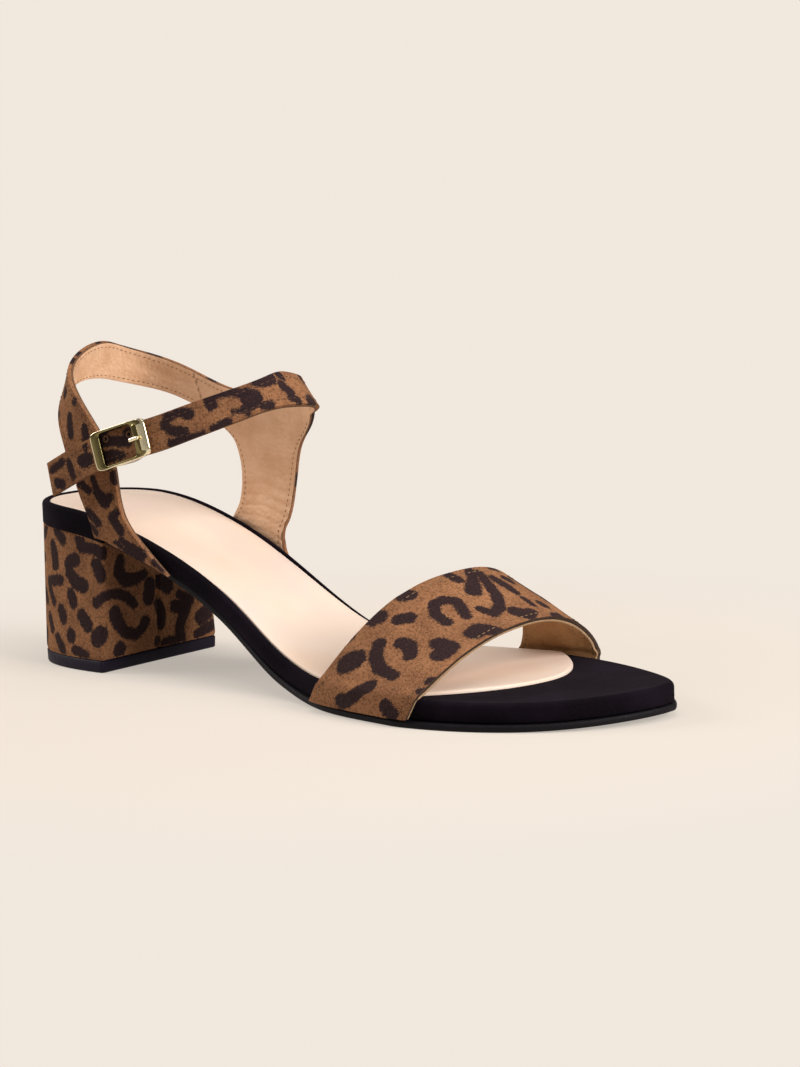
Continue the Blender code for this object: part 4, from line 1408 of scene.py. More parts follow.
@dataclass
class Upper:
    """Suede and a thinner lining, back to back and sewn along their edges."""

    last: Last
    suede: float = 1.1
    lining: float = 0.8
    lining_gap: float = 0.06
    lining_round: float = 0.2
    stitch_inset: float = 2.2
    lining_inset: float = 1.5

    def seams(self, name: str, thread: Finish) -> tuple[tuple, ...]:
        """Seams on both faces.

        Args:
            name: Start of the pieces' names.
            thread: Thread on the suede.

        Returns:
            Piece name, stitching, height, inset, thread and slot of each seam.
        """
        return (
            (f"{name}_stitches", TOP_STITCHING, self.suede, self.stitch_inset, thread, Slot.SPOTTED_SUEDE),
            (f"{name}_lining_stitches", LINING_STITCHING, -self.lining - self.lining_gap, self.lining_inset,
             Finish.LINING_THREAD, Slot.BEIGE_LEATHER))


@dataclass(frozen=True)
class VampEdge:
    """Arch of one edge of the toe strap."""

    outer_x: float
    inner_x: float
    crown: float
    bow: float
    square: float
    steep: float
    skew: float


@dataclass
class ToeStrap(Upper, Patch):
    """Broad toe strap: feet beside the footbed and an arch between its two edges."""

    rear: VampEdge = VampEdge(142.6, 160.0, 29.2, 13.0, 0.78, 1.42, 0.24)
    front: VampEdge = VampEdge(183.5, 189.5, 16.0, 3.8, 0.88, 1.65, 0.45)
    foot_slant: float = 3.0
    foot_depth: float = 5.65
    foot_hug: float = 3.0
    table_points: int = 401
    columns: int = 230
    rows: int = 72
    suede_round: float = 0.25
    seam_span: tuple[float, float, int] = (0.02, 0.98, 500)
    # Lowest and highest place across of the loose spots, where they start along, their tries and seed
    loose_spots: tuple = (66.0, 5.0, 14.0, 320, 21)
    creases: tuple[Crease, ...] = (
        Crease(((4.0, -19.0), (16.0, -16.0), (30.0, -15.5)), 1.6, 0.25),
        Crease(((2.0, 6.0), (14.0, 10.0), (24.0, 15.0)), 2.4, 0.22),
        Crease(((10.0, -4.0), (26.0, -2.0)), 3.0, -0.20),
        Crease(((40.0, 9.0), (58.0, 7.0)), 2.6, -0.18),
        Crease(((1.0, -17.0), (3.0, -5.0), (2.0, 8.0), (1.0, 18.0)), 1.2, -0.25),
    )
    lining_creases: tuple[Crease, ...] = (
        Crease(((70.0, -12.0), (84.0, -8.0), (98.0, -9.0)), 1.4, -0.25),
        Crease(((60.0, 2.0), (78.0, 4.0), (92.0, 2.0)), 1.8, -0.20),
        Crease(((96.0, -14.0), (100.0, 0.0), (97.0, 14.0)), 1.2, -0.25),
    )
    facing: float = -1.0

    def __post_init__(self) -> None:
        """Measure the strap along its middle arch and across."""
        self.table_t = np.linspace(0, 1, self.table_points)
        rear, middle, front = (
            self.arch(self.table_t, np.full(self.table_points, share)) for share in (0.0, 0.5, 1.0))
        self.table_arc = run_along(middle)
        self.table_width = np.linalg.norm(front - rear, axis=1)
        self.length = float(self.table_arc[-1])

    def arch(self, across: Array, along: Array) -> Array:
        """Places on the arch.

        Args:
            across: Share from the outer foot (0) to the inner foot (1).
            along: Share from the rear edge (0) to the front edge (1).

        Returns:
            Places in millimetres.
        """
        edge = {
            name: value + (getattr(self.front, name) - value) * along
            for name, value in vars(self.rear).items()}
        cosine = np.cos(math.pi * across)
        sine = np.clip(np.sin(math.pi * across), 0.0, None)
        part = 0.5 - 0.5 * np.sign(cosine) * np.abs(cosine) ** edge["square"]
        outer_y = self.last.beside(edge["outer_x"], Side.OUTER)
        inner_y = self.last.beside(edge["inner_x"], Side.INNER)
        x = edge["outer_x"] + (edge["inner_x"] - edge["outer_x"]) * part + edge["bow"] * sine
        y = outer_y + (inner_y - outer_y) * part
        z = self.last.rim(x) + edge["crown"] * sine ** edge["steep"] * (1 + edge["skew"] * (part - 0.5))
        return np.stack([x, y, z], -1)

    def along_arch(self, p: Array) -> Array:
        """Distance along the middle arch for a share of the whole strap, below 0 on the outer foot."""
        return -self.foot_depth + p * (self.length + 2 * self.foot_depth)

    def at(self, p: Array, q: Array) -> Array:
        """Lay out the middle of the strap.

        Args:
            p: Share from the end of the outer foot to the end of the inner foot.
            q: Share from the rear edge to the front edge.

        Returns:
            Places in millimetres.
        """
        u = self.along_arch(p)
        x, y, z = np.moveaxis(self.arch(np.interp(u, self.table_arc, self.table_t), q), -1, 0)
        below = np.clip(np.maximum(-u, u - self.length) / self.foot_depth, 0.0, 1.0)
        low = self.last.footbed_base(x) + self.last.seam_gap / 2
        z = z + (low - z) * below
        x = x - np.where(u < 0, self.foot_slant, 0.0) * below
        near = 1 - ease((z - self.last.rim(x)) / self.foot_hug)
        outer = np.minimum(self.last.beside(x, Side.OUTER), y)
        inner = np.maximum(self.last.beside(x, Side.INNER), y)
        clear = np.where(y < 0, outer, inner)
        return np.stack([x, y + (clear - y) * near, z], -1)

    def width(self, p: Array) -> Array:
        """Width of the strap in millimetres."""
        t = np.interp(self.along_arch(p), self.table_arc, self.table_t)
        return np.interp(t, self.table_t, self.table_width)

    def chart(self, p: Array, q: Array) -> tuple[Array, Array]:
        """Distance along the middle arch, and across from it towards the toe."""
        return self.along_arch(p), (q - 0.5) * self.width(p)

    def build(self) -> None:
        """Build and dress the suede, the lining and both rows of stitches."""
        start, past, half, tries, seed = self.loose_spots
        spots = VAMP_SPOTS.scattered((start, self.length + past, -half, half), tries, seed)
        bm = marked_mesh(Mark.SPOT)
        self.add(
            bm, self.columns, self.rows, lambda u, v: sum(crease.lift(u, v) for crease in self.creases),
            {Mark.SPOT: spots.depth})
        suede = make_piece(
            "toe_strap_suede", bm, Slot.SPOTTED_SUEDE, [Finish.PRINTED, Finish.SUEDE_EDGE], ["vamp_strap"])
        give_wall(suede, self.suede, 1.0, self.suede_round)
        bm = marked_mesh(Mark.SEAM)
        self.add(
            bm, self.columns // 2, self.rows // 2,
            lambda u, v: sum(crease.lift(u, v) for crease in self.lining_creases) - self.lining_gap,
            {Mark.SEAM: lambda u, v: np.full(u.shape, FAR)})
        # Its lining finish is the darker copy of the tan lining, as painted shade
        lining = make_piece(
            "toe_strap_lining", bm, Slot.BEIGE_LEATHER, [Finish.TOE_LINING, Finish.LINING_EDGE])
        give_wall(lining, self.lining, -1.0, self.lining_round)
        self.sew()

    def sew(self) -> None:
        """Sew a row along each edge, on both faces."""
        path = np.linspace(*self.seam_span)
        for name, sewing, lift, margin, thread, slot in self.seams("toe_strap", Finish.SUEDE_THREAD):
            inset = margin / self.width(path)
            bm = marked_mesh()
            sewing.add_row(bm, self, path, inset, lift)
            sewing.add_row(bm, self, path, 1 - inset, lift)
            make_piece(name, bm, slot, [thread])


# Sections of the ankle wall: distance along and height of the lower or rear edge, then of the other edge
OUTER_QUARTER: Table = (
    (-42.8, 42.0, -73.5, 32.0), (-40.6, 49.5, -63.0, 42.0), (-37.6, 57.5, -55.6, 51.5),
    (-34.6, 65.0, -53.6, 61.5), (-31.0, 73.0, -52.0, 70.5), (-25.5, 80.3, -46.5, 78.6),
    (-18.5, 86.8, -39.5, 86.4))
HEEL_STRAP: Table = (
    (-9.5, 91.3, -28.5, 95.6), (0.5, 92.3, -13.0, 101.8), (9.0, 91.4, 4.0, 104.0), (19.0, 89.0, 18.0, 101.2),
    (32.0, 85.9, 33.0, 96.9), (43.0, 82.0, 46.0, 92.1))
INNER_QUARTER_TOP: Table = (
    (54.0, 78.6, 58.0, 88.2), (66.0, 77.0, 69.0, 87.2), (77.0, 76.8, 78.0, 88.0), (86.0, 78.2, 86.0, 90.0),
    (95.0, 81.4, 94.0, 92.2))
ANKLE_STRAP: Table = (
    (106.5, 84.8, 105.0, 94.6), (118.0, 86.4, 117.0, 96.2), (129.0, 86.4, 128.5, 95.8),
    (138.0, 84.2, 138.5, 93.8), (147.0, 81.0, 148.0, 91.2), (158.0, 77.0, 159.0, 87.8),
    (168.0, 73.6, 169.5, 84.4), (180.0, 70.4, 182.0, 81.0), (195.0, 65.2, 197.5, 75.6),
    (211.0, 58.0, 213.5, 68.3))
INNER_QUARTER_LEG: Table = (
    (55.4, 74.4, 91.0, 76.4), (59.6, 69.2, 86.6, 70.8), (60.8, 63.2, 84.0, 63.4), (60.6, 57.0, 82.2, 55.0),
    (59.2, 50.5, 80.4, 46.5), (56.2, 44.5, 78.0, 38.0), (53.4, 38.5, 83.0, 27.2))


@dataclass
class Band(Patch):
    """Outer quarter, heel strap, inner quarter's top and ankle strap, as one band."""

    last: Last
    facing: float = -1.0

    def __post_init__(self) -> None:
        """Make the curves of both edges from the sections."""
        table = np.array(OUTER_QUARTER + HEEL_STRAP + INNER_QUARTER_TOP + ANKLE_STRAP)
        self.sections = len(table) - 1
        self.edges = [even_curve(np.arange(len(table)), column) for column in table.T]
        self.leg_start = len(OUTER_QUARTER) + len(HEEL_STRAP) - 1
        self.leg_end = self.leg_start + len(INNER_QUARTER_TOP)

    def pattern(self, p: Array, q: Array) -> tuple[Array, Array]:
        """Flat pattern: distance along the wall and height, before the foot is seated."""
        low_s, low_z, high_s, high_z = (curve(p * self.sections) for curve in self.edges)
        return low_s + (high_s - low_s) * q, low_z + (high_z - low_z) * q

    def at(self, p: Array, q: Array) -> Array:
        """Places in millimetres on the middle of the strap."""
        return self.last.seated(self.pattern(p, q), self.pattern(np.zeros_like(p), q), p * self.sections)

    def width(self, p: Array) -> Array:
        """Width of the band in millimetres."""
        ends = self.at(p, np.ones_like(p)) - self.at(p, np.zeros_like(p))
        return np.linalg.norm(ends, axis=-1)


@dataclass
class Leg(Patch):
    """Inner quarter below the band, down to the footbed's side."""

    band: Band

    def __post_init__(self) -> None:
        """Find the ends of the leg's top edge and make the curves of both edges."""
        self.rear_top, self.front_top = self.top(np.array((0.0, 1.0)))
        table = np.array(((*self.rear_top, *self.front_top),) + INNER_QUARTER_LEG)
        self.sections = len(table) - 1
        self.edges = [even_curve(np.arange(len(table)), column) for column in table.T]

    def top(self, p: Array) -> Array:
        """Pattern places on the band's lower edge, where the leg starts."""
        place = (self.band.leg_start + p * (self.band.leg_end - self.band.leg_start)) / self.band.sections
        return np.stack(self.band.pattern(place, np.zeros_like(place)), -1)

    def pattern(self, p: Array, q: Array) -> tuple[Array, Array]:
        """Flat pattern, whose top follows the band's lower edge.

        Args:
            p: Share from the rear edge to the front edge.
            q: Share from the top to the foot.

        Returns:
            Distance along the wall and height, before the foot is seated.
        """
        rear_s, rear_z, front_s, front_z = (curve(q * self.sections) for curve in self.edges)
        top = self.top(p)
        span = self.front_top - self.rear_top
        fan = (top[..., 0] - self.rear_top[0]) / span[0]
        sag = (1 - q) ** 2
        s = rear_s + (front_s - rear_s) * fan + (top[..., 0] - self.rear_top[0] - span[0] * fan) * sag
        z = rear_z + (front_z - rear_z) * fan + (top[..., 1] - self.rear_top[1] - span[1] * fan) * sag
        return s, z

    def at(self, p: Array, q: Array) -> Array:
        """Places in millimetres on the middle of the strap."""
        foot = self.pattern(p, np.ones_like(q))
        return self.band.last.seated(self.pattern(p, q), foot, (1 - q) * self.sections)

    def width(self, q: Array) -> Array:
        """Width of the leg in millimetres."""
        ends = self.at(np.ones_like(q), q) - self.at(np.zeros_like(q), q)
        return np.linalg.norm(ends, axis=-1)


@dataclass
class AnkleWall(Upper):
    """Both quarters, the heel strap and the ankle strap: suede outside, lining inside."""

    steps: int = 20
    across: int = 30
    leg_rows: int = 84
    suede_round: float = 0.3
    holes: tuple[Pair, ...] = ((187.0, 77.3), (177.7, 79.1))
    hole_radius: float = 0.85
    hole_rim: float = 1.2
    hole_depth: float = 0.7
    hole_soft: float = 0.35
    # How far past each hole's edge the suede is painted spot-dark: painted shade
    hole_stain: float = 0.2
    hole_lip: Pair = (0.15, 0.1)
    hole_wall: Pair = (0.08, -0.5)
    hole_probe: float = 1.0
    seam_s: float = 45.0
    seam_z: float = 86.0
    seam_slant: float = 0.25
    seam_depth: float = 0.3
    seam_width: float = 0.5
    # Shares where the seams start and end, the sections they keep from the leg, and how finely they run
    band_ends: Pair = (0.012, 0.985)
    leg_ends: Pair = (0.06, 0.97)
    leg_clear: float = 0.1
    seam_points: tuple[int, int, int, int] = (1600, 800, 600, 300)
    # Area, tries and seed of the loose spots on the back and the inner side
    loose_spots: tuple = ((-22.0, 116.0, 22.0, 104.0), 900, 31)
    creases: tuple[Crease, ...] = (
        Crease(((-44.0, 47.0), (-52.0, 42.5), (-66.0, 36.5)), 0.9, 0.28),
        Crease(((-47.0, 44.0), (-58.0, 39.0), (-70.0, 34.5)), 0.7, -0.25),
        Crease(((-40.0, 64.0), (-50.0, 60.0)), 2.2, -0.18),
        Crease(((-38.0, 56.0), (-54.0, 50.0)), 2.6, 0.20),
        Crease(((62.0, 50.0), (72.0, 46.0), (82.0, 42.0)), 1.2, -0.25),
        Crease(((60.0, 45.0), (72.0, 40.0), (85.0, 35.0)), 1.0, 0.22),
        Crease(((150.0, 84.0), (166.0, 79.0)), 2.6, 0.15),
    )
    lining_creases: tuple[Crease, ...] = (
        Crease(((62.5, 56.5), (70.0, 57.4), (81.0, 54.0)), 0.8, 0.40),
        Crease(((62.5, 53.2), (71.0, 53.6), (81.0, 50.2)), 0.8, 0.45),
        Crease(((62.0, 49.8), (70.0, 50.0), (81.0, 46.4)), 0.8, 0.45),
        Crease(((61.0, 46.6), (70.0, 46.0), (82.0, 42.0)), 0.9, 0.40),
        Crease(((60.0, 43.0), (72.0, 41.6), (84.0, 36.6)), 0.9, 0.35),
        Crease(((20.0, 96.0), (28.0, 93.0), (40.0, 89.0)), 1.0, 0.22),
        Crease(((64.0, 55.0), (69.0, 55.6), (74.0, 54.6)), 0.4, 0.22),
        Crease(((70.0, 52.2), (76.0, 51.4), (80.0, 50.8)), 0.4, 0.22),
        Crease(((63.5, 51.6), (68.0, 51.9), (72.0, 51.2)), 0.4, 0.20),
        Crease(((67.0, 48.2), (73.0, 47.4), (79.0, 45.2)), 0.4, 0.22),
        Crease(((62.0, 48.2), (66.0, 48.0)), 0.4, 0.20),
        Crease(((64.0, 44.6), (70.0, 43.9), (76.0, 42.0)), 0.4, 0.22),
    )

    def __post_init__(self) -> None:
        """Lay out the two patches and the spots."""
        self.band = Band(self.last)
        self.leg = Leg(self.band)
        self.spots = WALL_SPOTS.scattered(*self.loose_spots)

    def hole_gap(self, s: Array, z: Array) -> Array:
        """Distance outside the nearest strap hole."""
        return np.min([np.hypot(s - a, z - b) for a, b in self.holes], axis=0) - self.hole_radius

    def spot_gap(self, s: Array, z: Array) -> Array:
        """Distance outside the nearest spot, or outside the painted shade that darkens the suede round each
        strap hole.
        """
        return np.minimum(self.spots.depth(s, z), self.hole_gap(s, z) - self.hole_stain)

    def suede_lift(self, s: Array, z: Array) -> Array:
        """Creases of the suede and the dents of the strap holes."""
        dent = self.hole_depth * (1 - ease((self.hole_gap(s, z) + self.hole_soft) / (2 * self.hole_soft)))
        return sum(crease.lift(s, z) for crease in self.creases) - dent

    def seam_gap(self, s: Array, z: Array) -> Array:
        """Distance from the lining's seam on the heel strap."""
        return np.abs(s - self.seam_s + self.seam_slant * (z - self.seam_z))

    def lining_lift(self, s: Array, z: Array) -> Array:
        """Creases of the lining, sunk away from the foot, and the trough of its seam."""
        seam = self.seam_depth * np.exp(-0.5 * (self.seam_gap(s, z) / self.seam_width) ** 2)
        return sum(crease.lift(s, z) for crease in self.lining_creases) + seam - self.lining_gap

    def lay(self, steps: int, across: int, lift: Relief, mark: Mark, value: Relief) -> Mesh:
        """Lay the band and the leg as one sheet.

        Args:
            steps: Quads along each section of the band.
            across: Quads across the band.
            lift: Height above the middle of the strap, for chart coordinates.
            mark: Vertex mark that the sheet carries.
            value: Value of the mark, for chart coordinates.

        Returns:
            The new mesh.
        """
        bm = marked_mesh(mark)
        leg_columns = (self.band.leg_end - self.band.leg_start) * steps
        self.band.add(bm, self.band.sections * steps, across, lift, {mark: value})
        self.leg.add(bm, leg_columns, self.leg_rows, lift, {mark: value})
        bmesh.ops.remove_doubles(bm, verts=bm.verts, dist=PATCH_WELD * MM)
        return bm

    def build(self) -> None:
        """Build and dress the suede, the lining, the holes and the stitches."""
        bm = self.lay(self.steps, self.across, self.suede_lift, Mark.SPOT, self.spot_gap)
        suede = make_piece(
            "quarter_suede", bm, Slot.SPOTTED_SUEDE, [Finish.PRINTED], ["quarter_strap"])
        give_wall(suede, self.suede, 1.0, self.suede_round)
        bm = self.lay(self.steps // 2, self.across // 2, self.lining_lift, Mark.SEAM, self.seam_gap)
        lining = make_piece(
            "quarter_lining", bm, Slot.BEIGE_LEATHER, [Finish.LINING, Finish.TURNED_EDGE])
        give_wall(lining, self.lining, -1.0, self.lining_round)
        self.punch()
        self.sew()

    def punch(self) -> None:
        """Line each strap hole with a raised raw rim and a dark sunk bottom disc, which paints the shadow
        inside the hole.
        """
        bm = marked_mesh()
        step = self.hole_probe
        for s, z in self.holes:
            middle, front, rear, top, low = self.last.wall(
                np.array((s, s - step, s + step, s, s)), np.array((z, z, z, z + step, z - step)), self.suede)
            along = Vector(front - rear).normalized()
            outward = along.cross(Vector(top - low)).normalized()
            turn = Matrix((along, outward.cross(along), outward)).transposed().to_4x4()
            made = bmesh.ops.create_circle(
                bm, cap_ends=True, segments=20, radius=self.hole_rim * MM,
                matrix=Matrix.Translation(in_frame(middle)) @ turn)["verts"]
            bottom = made[0].link_faces[0]
            bottom.normal_update()
            if bottom.normal.dot(outward) < 0:
                bottom.normal_flip()
            for width, depth in (self.hole_lip, (self.hole_rim - self.hole_radius, 0.0), self.hole_wall):
                bmesh.ops.inset_region(
                    bm, faces=[bottom], thickness=width * MM, depth=depth * MM, use_boundary=True)
            # The dark bottom disc paints the hole's shadow
            bottom.material_index = 1
        make_piece(
            "strap_hole_rims", bm, Slot.SPOTTED_SUEDE, [Finish.TURNED_EDGE, Finish.HOLE])

    def sew(self) -> None:
        """Sew rows along the band's edges and down both edges of the inner quarter."""
        band = self.band
        start, end = self.band_ends
        to_leg = (band.leg_start - self.leg_clear) / band.sections
        from_leg = (band.leg_end + self.leg_clear) / band.sections
        spans = ((start, end), (start, to_leg), (from_leg, end), self.leg_ends)
        whole, before, after, down = (
            np.linspace(*span, count) for span, count in zip(spans, self.seam_points))
        for name, sewing, lift, margin, thread, slot in self.seams("quarter", Finish.QUARTER_THREAD):
            bm = marked_mesh()
            sewing.add_row(bm, band, whole, 1 - margin / band.width(whole), lift)
            for path in (before, after):
                sewing.add_row(bm, band, path, margin / band.width(path), lift)
            inset = margin / self.leg.width(down)
            for share in (inset, 1 - inset):
                sewing.add_row(bm, self.leg, share, down, lift)
            make_piece(name, bm, slot, [thread])


# Buckle


@dataclass
class Buckle:
    """Gilt buckle on the outer side: end bars over the strap, centre bar under it, and its tab.

    Its pieces are made in millimetres in their own axes, along, across and outward of the strap.
    """

    last: Last
    place_s: float = 180.0
    probe: float = 4.0
    half_length: float = 11.2
    half_width: float = 5.35
    rail: float = 0.8
    taper: float = 0.04
    drop: float = 0.15
    tilt: float = 1.5
    bar_height: float = 1.6
    rear_bar: float = 3.6
    front_bar: float = 5.6
    # Length of the front lip, which the gilt paints all over in its highlight colour
    lip: float = 2.9
    corner_power: Pair = (8.0, 10.0)
    section_round: float = 0.3
    outline_points: int = 4001
    frame_weld: float = 0.005
    bevel_angle: float = 60.0
    roller_rise: float = 0.4
    roller_start: float = 0.2
    roller_inset: float = 1.2
    roller_soft: float = 0.9
    web_thinner: float = 0.4
    web_top: float = 0.6
    web_over: float = 0.2
    web_inset: float = 2.0
    web_soft: float = 0.18
    centre_bar: float = 1.4
    centre_inset: float = 0.3
    centre_soft: float = 0.4
    prong_radius: float = 0.6
    prong_start: float = 3.0
    prong_end: float = 8.6
    prong_clear: float = 0.4
    prong_taper: float = 0.25
    prong_tip: float = 0.45
    prong_flatness: float = 1.25
    tab_s: float = -46.0
    tab_z: float = 70.5
    tab_size: Pair = (8.0, 0.8)
    tab_corner: float = 1.0
    tab_soft: float = 0.2

    def __post_init__(self) -> None:
        """Find the buckle's middle and its axes along, across and outward of the strap."""
        table = np.array(ANKLE_STRAP)
        height = even_curve((table[:, 0] + table[:, 2]) / 2, (table[:, 1] + table[:, 3]) / 2)
        s = np.array((self.place_s - self.probe, self.place_s, self.place_s + self.probe))
        front, self.middle, rear = self.last.wall(s, height(s))
        level = height(s[1])
        up, down = self.last.wall(
            np.full(2, self.place_s), np.array((level + self.probe, level - self.probe)))
        self.along = unit(front - rear)
        across = up - down
        self.across = unit(across - self.along * across.dot(self.along))
        self.outward = np.cross(self.along, self.across)
        lean = math.radians(self.tilt)
        along = self.along * math.cos(lean) + self.across * math.sin(lean)
        self.across = self.across * math.cos(lean) - self.along * math.sin(lean)
        self.along = along
        self.middle = self.middle - self.across * self.drop
        self.over = self.last.strap_wall / 2 + self.last.seam_gap
        self.full_width = self.half_width + self.rail

    def axes(self, middle: Array, along: Array, across: Array, outward: Array) -> Matrix:
        """Matrix from millimetres in a piece's own axes to the part's frame."""
        turn = Matrix((along * MM, across * MM, outward * MM)).transposed().to_4x4()
        return Matrix.Translation(in_frame(middle)) @ turn

    def soften(self, bm: Mesh, verts: Sequence[bmesh.types.BMVert], width: float, segments: int) -> None:
        """Bevel the sharp edges of a bar.

        Args:
            bm: Mesh that takes the bar.
            verts: The bar's vertices.
            width: Width of the bevel.
            segments: Steps of the bevel.
        """
        edges = dict.fromkeys(edge for vert in verts for edge in vert.link_edges)
        limit = math.radians(self.bevel_angle)
        sharp = [e for e in edges if len(e.link_faces) == 2 and e.calc_face_angle() > limit]
        bmesh.ops.bevel(
            bm, geom=sharp, offset=width, segments=segments, profile=0.5, affect="EDGES", material=-1)

    def add_bar(
        self, bm: Mesh, low: Sequence[float], high: Sequence[float], corner: float, soft: float
    ) -> None:
        """Add a bar with round corners seen from above and softened edges.

        Args:
            bm: Mesh that takes the bar.
            low: Lowest along, across and outward.
            high: Highest along, across and outward.
            corner: Radius of the upright corners, or 0.
            soft: Width of the bevel on the remaining edges.
        """
        size = np.subtract(high, low)
        middle = np.add(high, low) / 2
        place = Matrix.Translation(middle) @ Matrix.Diagonal((*size, 1.0))
        verts = bmesh.ops.create_cube(bm, size=1.0, matrix=place)["verts"]
        if corner:
            edges = dict.fromkeys(edge for vert in verts for edge in vert.link_edges)
            upright = [e for e in edges if abs(e.verts[0].co.z - e.verts[1].co.z) > 0.5 * size[2]]
            made = bmesh.ops.bevel(
                bm, geom=upright, offset=corner, segments=5, profile=0.5, affect="EDGES", material=-1)
            verts = [v for v in verts if v.is_valid] + made["verts"]
        self.soften(bm, verts, soft, segments=3)

    def add_rail(self, bm: Mesh, across: float) -> None:
        """Add the web of a side rail, bowed down below to the centre bar.

        Args:
            bm: Mesh that takes the bar.
            across: Place of the rail's middle across the buckle.
        """
        thickness = self.rail - self.web_thinner
        top = self.over + self.bar_height - self.web_top
        shallow = self.over + self.web_over
        bottom = -self.over - self.centre_bar - self.web_over
        verts = bmesh.ops.create_grid(bm, x_segments=18, y_segments=2, size=0.5)["verts"]
        for vert in verts:
            t = 2 * vert.co.x
            low = shallow + (bottom - shallow) * math.cos(t * math.pi / 2) ** 2
            height = low + (top - low) * (vert.co.y + 0.5)
            vert.co = (t * (self.half_length - self.web_inset), across - thickness / 2, height)
        faces = list(dict.fromkeys(face for vert in verts for face in vert.link_faces))
        made = bmesh.ops.extrude_face_region(bm, geom=faces)["geom"]
        moved = [item for item in made if isinstance(item, bmesh.types.BMVert)]
        bmesh.ops.translate(bm, verts=moved, vec=(0.0, thickness, 0.0))
        self.soften(bm, verts + moved, self.web_soft, segments=2)

    def add_frame(self, bm: Mesh) -> None:
        """Sweep a softly rounded section between the squared rounds of the opening and the outside.

        Args:
            bm: Mesh that carries the edge mark, which places the painted highlight.
        """
        angle = np.linspace(0, 2 * math.pi, self.outline_points)
        cosine, sine = np.cos(angle), np.sin(angle)
        open_half = self.half_length - (self.rear_bar + self.front_bar) / 2
        open_middle = (self.rear_bar - self.front_bar) / 2
        outer, opening = (
            np.stack([
                middle + half_along * np.sign(cosine) * np.abs(cosine) ** (2 / power),
                half_across * np.sign(sine) * np.abs(sine) ** (2 / power)], -1)
            for power, middle, half_along, half_across in (
                (self.corner_power[0], 0.0, self.half_length, self.full_width),
                (self.corner_power[1], open_middle, open_half, self.half_width)))
        outer[:, 1] *= 1 - self.taper * outer[:, 0] / self.half_length
        run = run_along(outer)
        rim = bm.verts.layers.float[Mark.EDGE.value]
        verts = bmesh.ops.create_grid(bm, x_segments=128, y_segments=20, size=0.5)["verts"]
        for vert in verts:
            place = np.interp((vert.co.x + 0.5) * run[-1], run, np.arange(len(run)))
            turn = 2 * math.pi * (vert.co.y + 0.5)
            share, height = (
                0.5 + 0.5 * math.copysign(abs(wave) ** self.section_round, wave)
                for wave in (math.cos(turn), math.sin(turn)))
            near, far = (
                np.array([np.interp(place, np.arange(len(run)), line[:, k]) for k in range(2)])
                for line in (opening, outer))
            vert.co = (*(near + (far - near) * share), self.over + self.bar_height * height)
            # Edge mark for the painted highlight: 0 over the whole front lip, elsewhere the distance in from
            # the outer rim
            on_lip = vert.co.x > self.half_length - self.lip
            vert[rim] = 0.0 if on_lip else (1 - share) * float(np.linalg.norm(far - near))
        bmesh.ops.remove_doubles(bm, verts=verts, dist=self.frame_weld)

    def build(self) -> None:
        """Build and dress the frame, the prong and the tab."""
        base = self.over
        top = base + self.bar_height
        bm = marked_mesh(Mark.EDGE)
        self.add_frame(bm)
        frame = set(bm.verts)
        inner = self.half_length - self.front_bar + self.roller_start
        lip = self.half_length - self.lip
        side = self.full_width - self.roller_inset
        self.add_bar(bm, (inner, -side, base), (lip, side, top + self.roller_rise), 0.0, self.roller_soft)
        for across in (-self.half_width - self.rail / 2, self.half_width + self.rail / 2):
            self.add_rail(bm, across)
        half = self.centre_bar / 2
        side = self.full_width - self.centre_inset
        self.add_bar(bm, (-half, -side, -base - self.centre_bar), (half, side, -base), 0.0, self.centre_soft)
        # The roller, the rail webs and the centre bar carry no painted highlight
        rim = bm.verts.layers.float[Mark.EDGE.value]
        for vert in set(bm.verts) - frame:
            vert[rim] = FAR
        bmesh.ops.recalc_face_normals(bm, faces=bm.faces)
        axes = self.axes(self.middle, self.along, self.across, self.outward)
        bmesh.ops.transform(bm, matrix=axes, verts=bm.verts)
        make_piece("buckle_bars", bm, Slot.GOLD_METAL, [Finish.GILT], ["buckle_frame"])
        self.build_prong(axes)
        self.build_tab()

    def build_prong(self, axes: Matrix) -> None:
        """Build the tapered prong, painted all over in the gilt's highlight colour, that climbs out of its
        hole onto the front bar.

        Args:
            axes: Matrix from the buckle's own axes to the part's frame.
        """
        # Its edge mark stays 0, so the whole prong takes the painted highlight
        bm = marked_mesh(Mark.EDGE)
        low = self.over + self.prong_radius
        high = self.over + self.last.seam_gap + self.bar_height + self.prong_radius
        climb = self.half_length - self.front_bar - self.prong_clear - self.prong_start
        for vert in bmesh.ops.create_uvsphere(bm, u_segments=14, v_segments=24, radius=1.0)["verts"]:
            share = 0.5 + 0.5 * vert.co.z
            x = self.prong_start + (self.prong_end - self.prong_start) * share
            lift = low + (high - low) * float(ease(np.array((x - self.prong_start) / climb)))
            girth = max(TINY, math.hypot(vert.co.x, vert.co.y))
            full = min(1.0, girth / self.prong_tip)
            thick = self.prong_radius * (1 - self.prong_taper * share) * full / girth
            vert.co = (x, vert.co.x * thick * self.prong_flatness, lift + vert.co.y * thick)
        bmesh.ops.recalc_face_normals(bm, faces=bm.faces)
        bmesh.ops.transform(bm, matrix=axes, verts=bm.verts)
        make_piece("prong", bm, Slot.GOLD_METAL, [Finish.GILT], ["buckle_prong"])

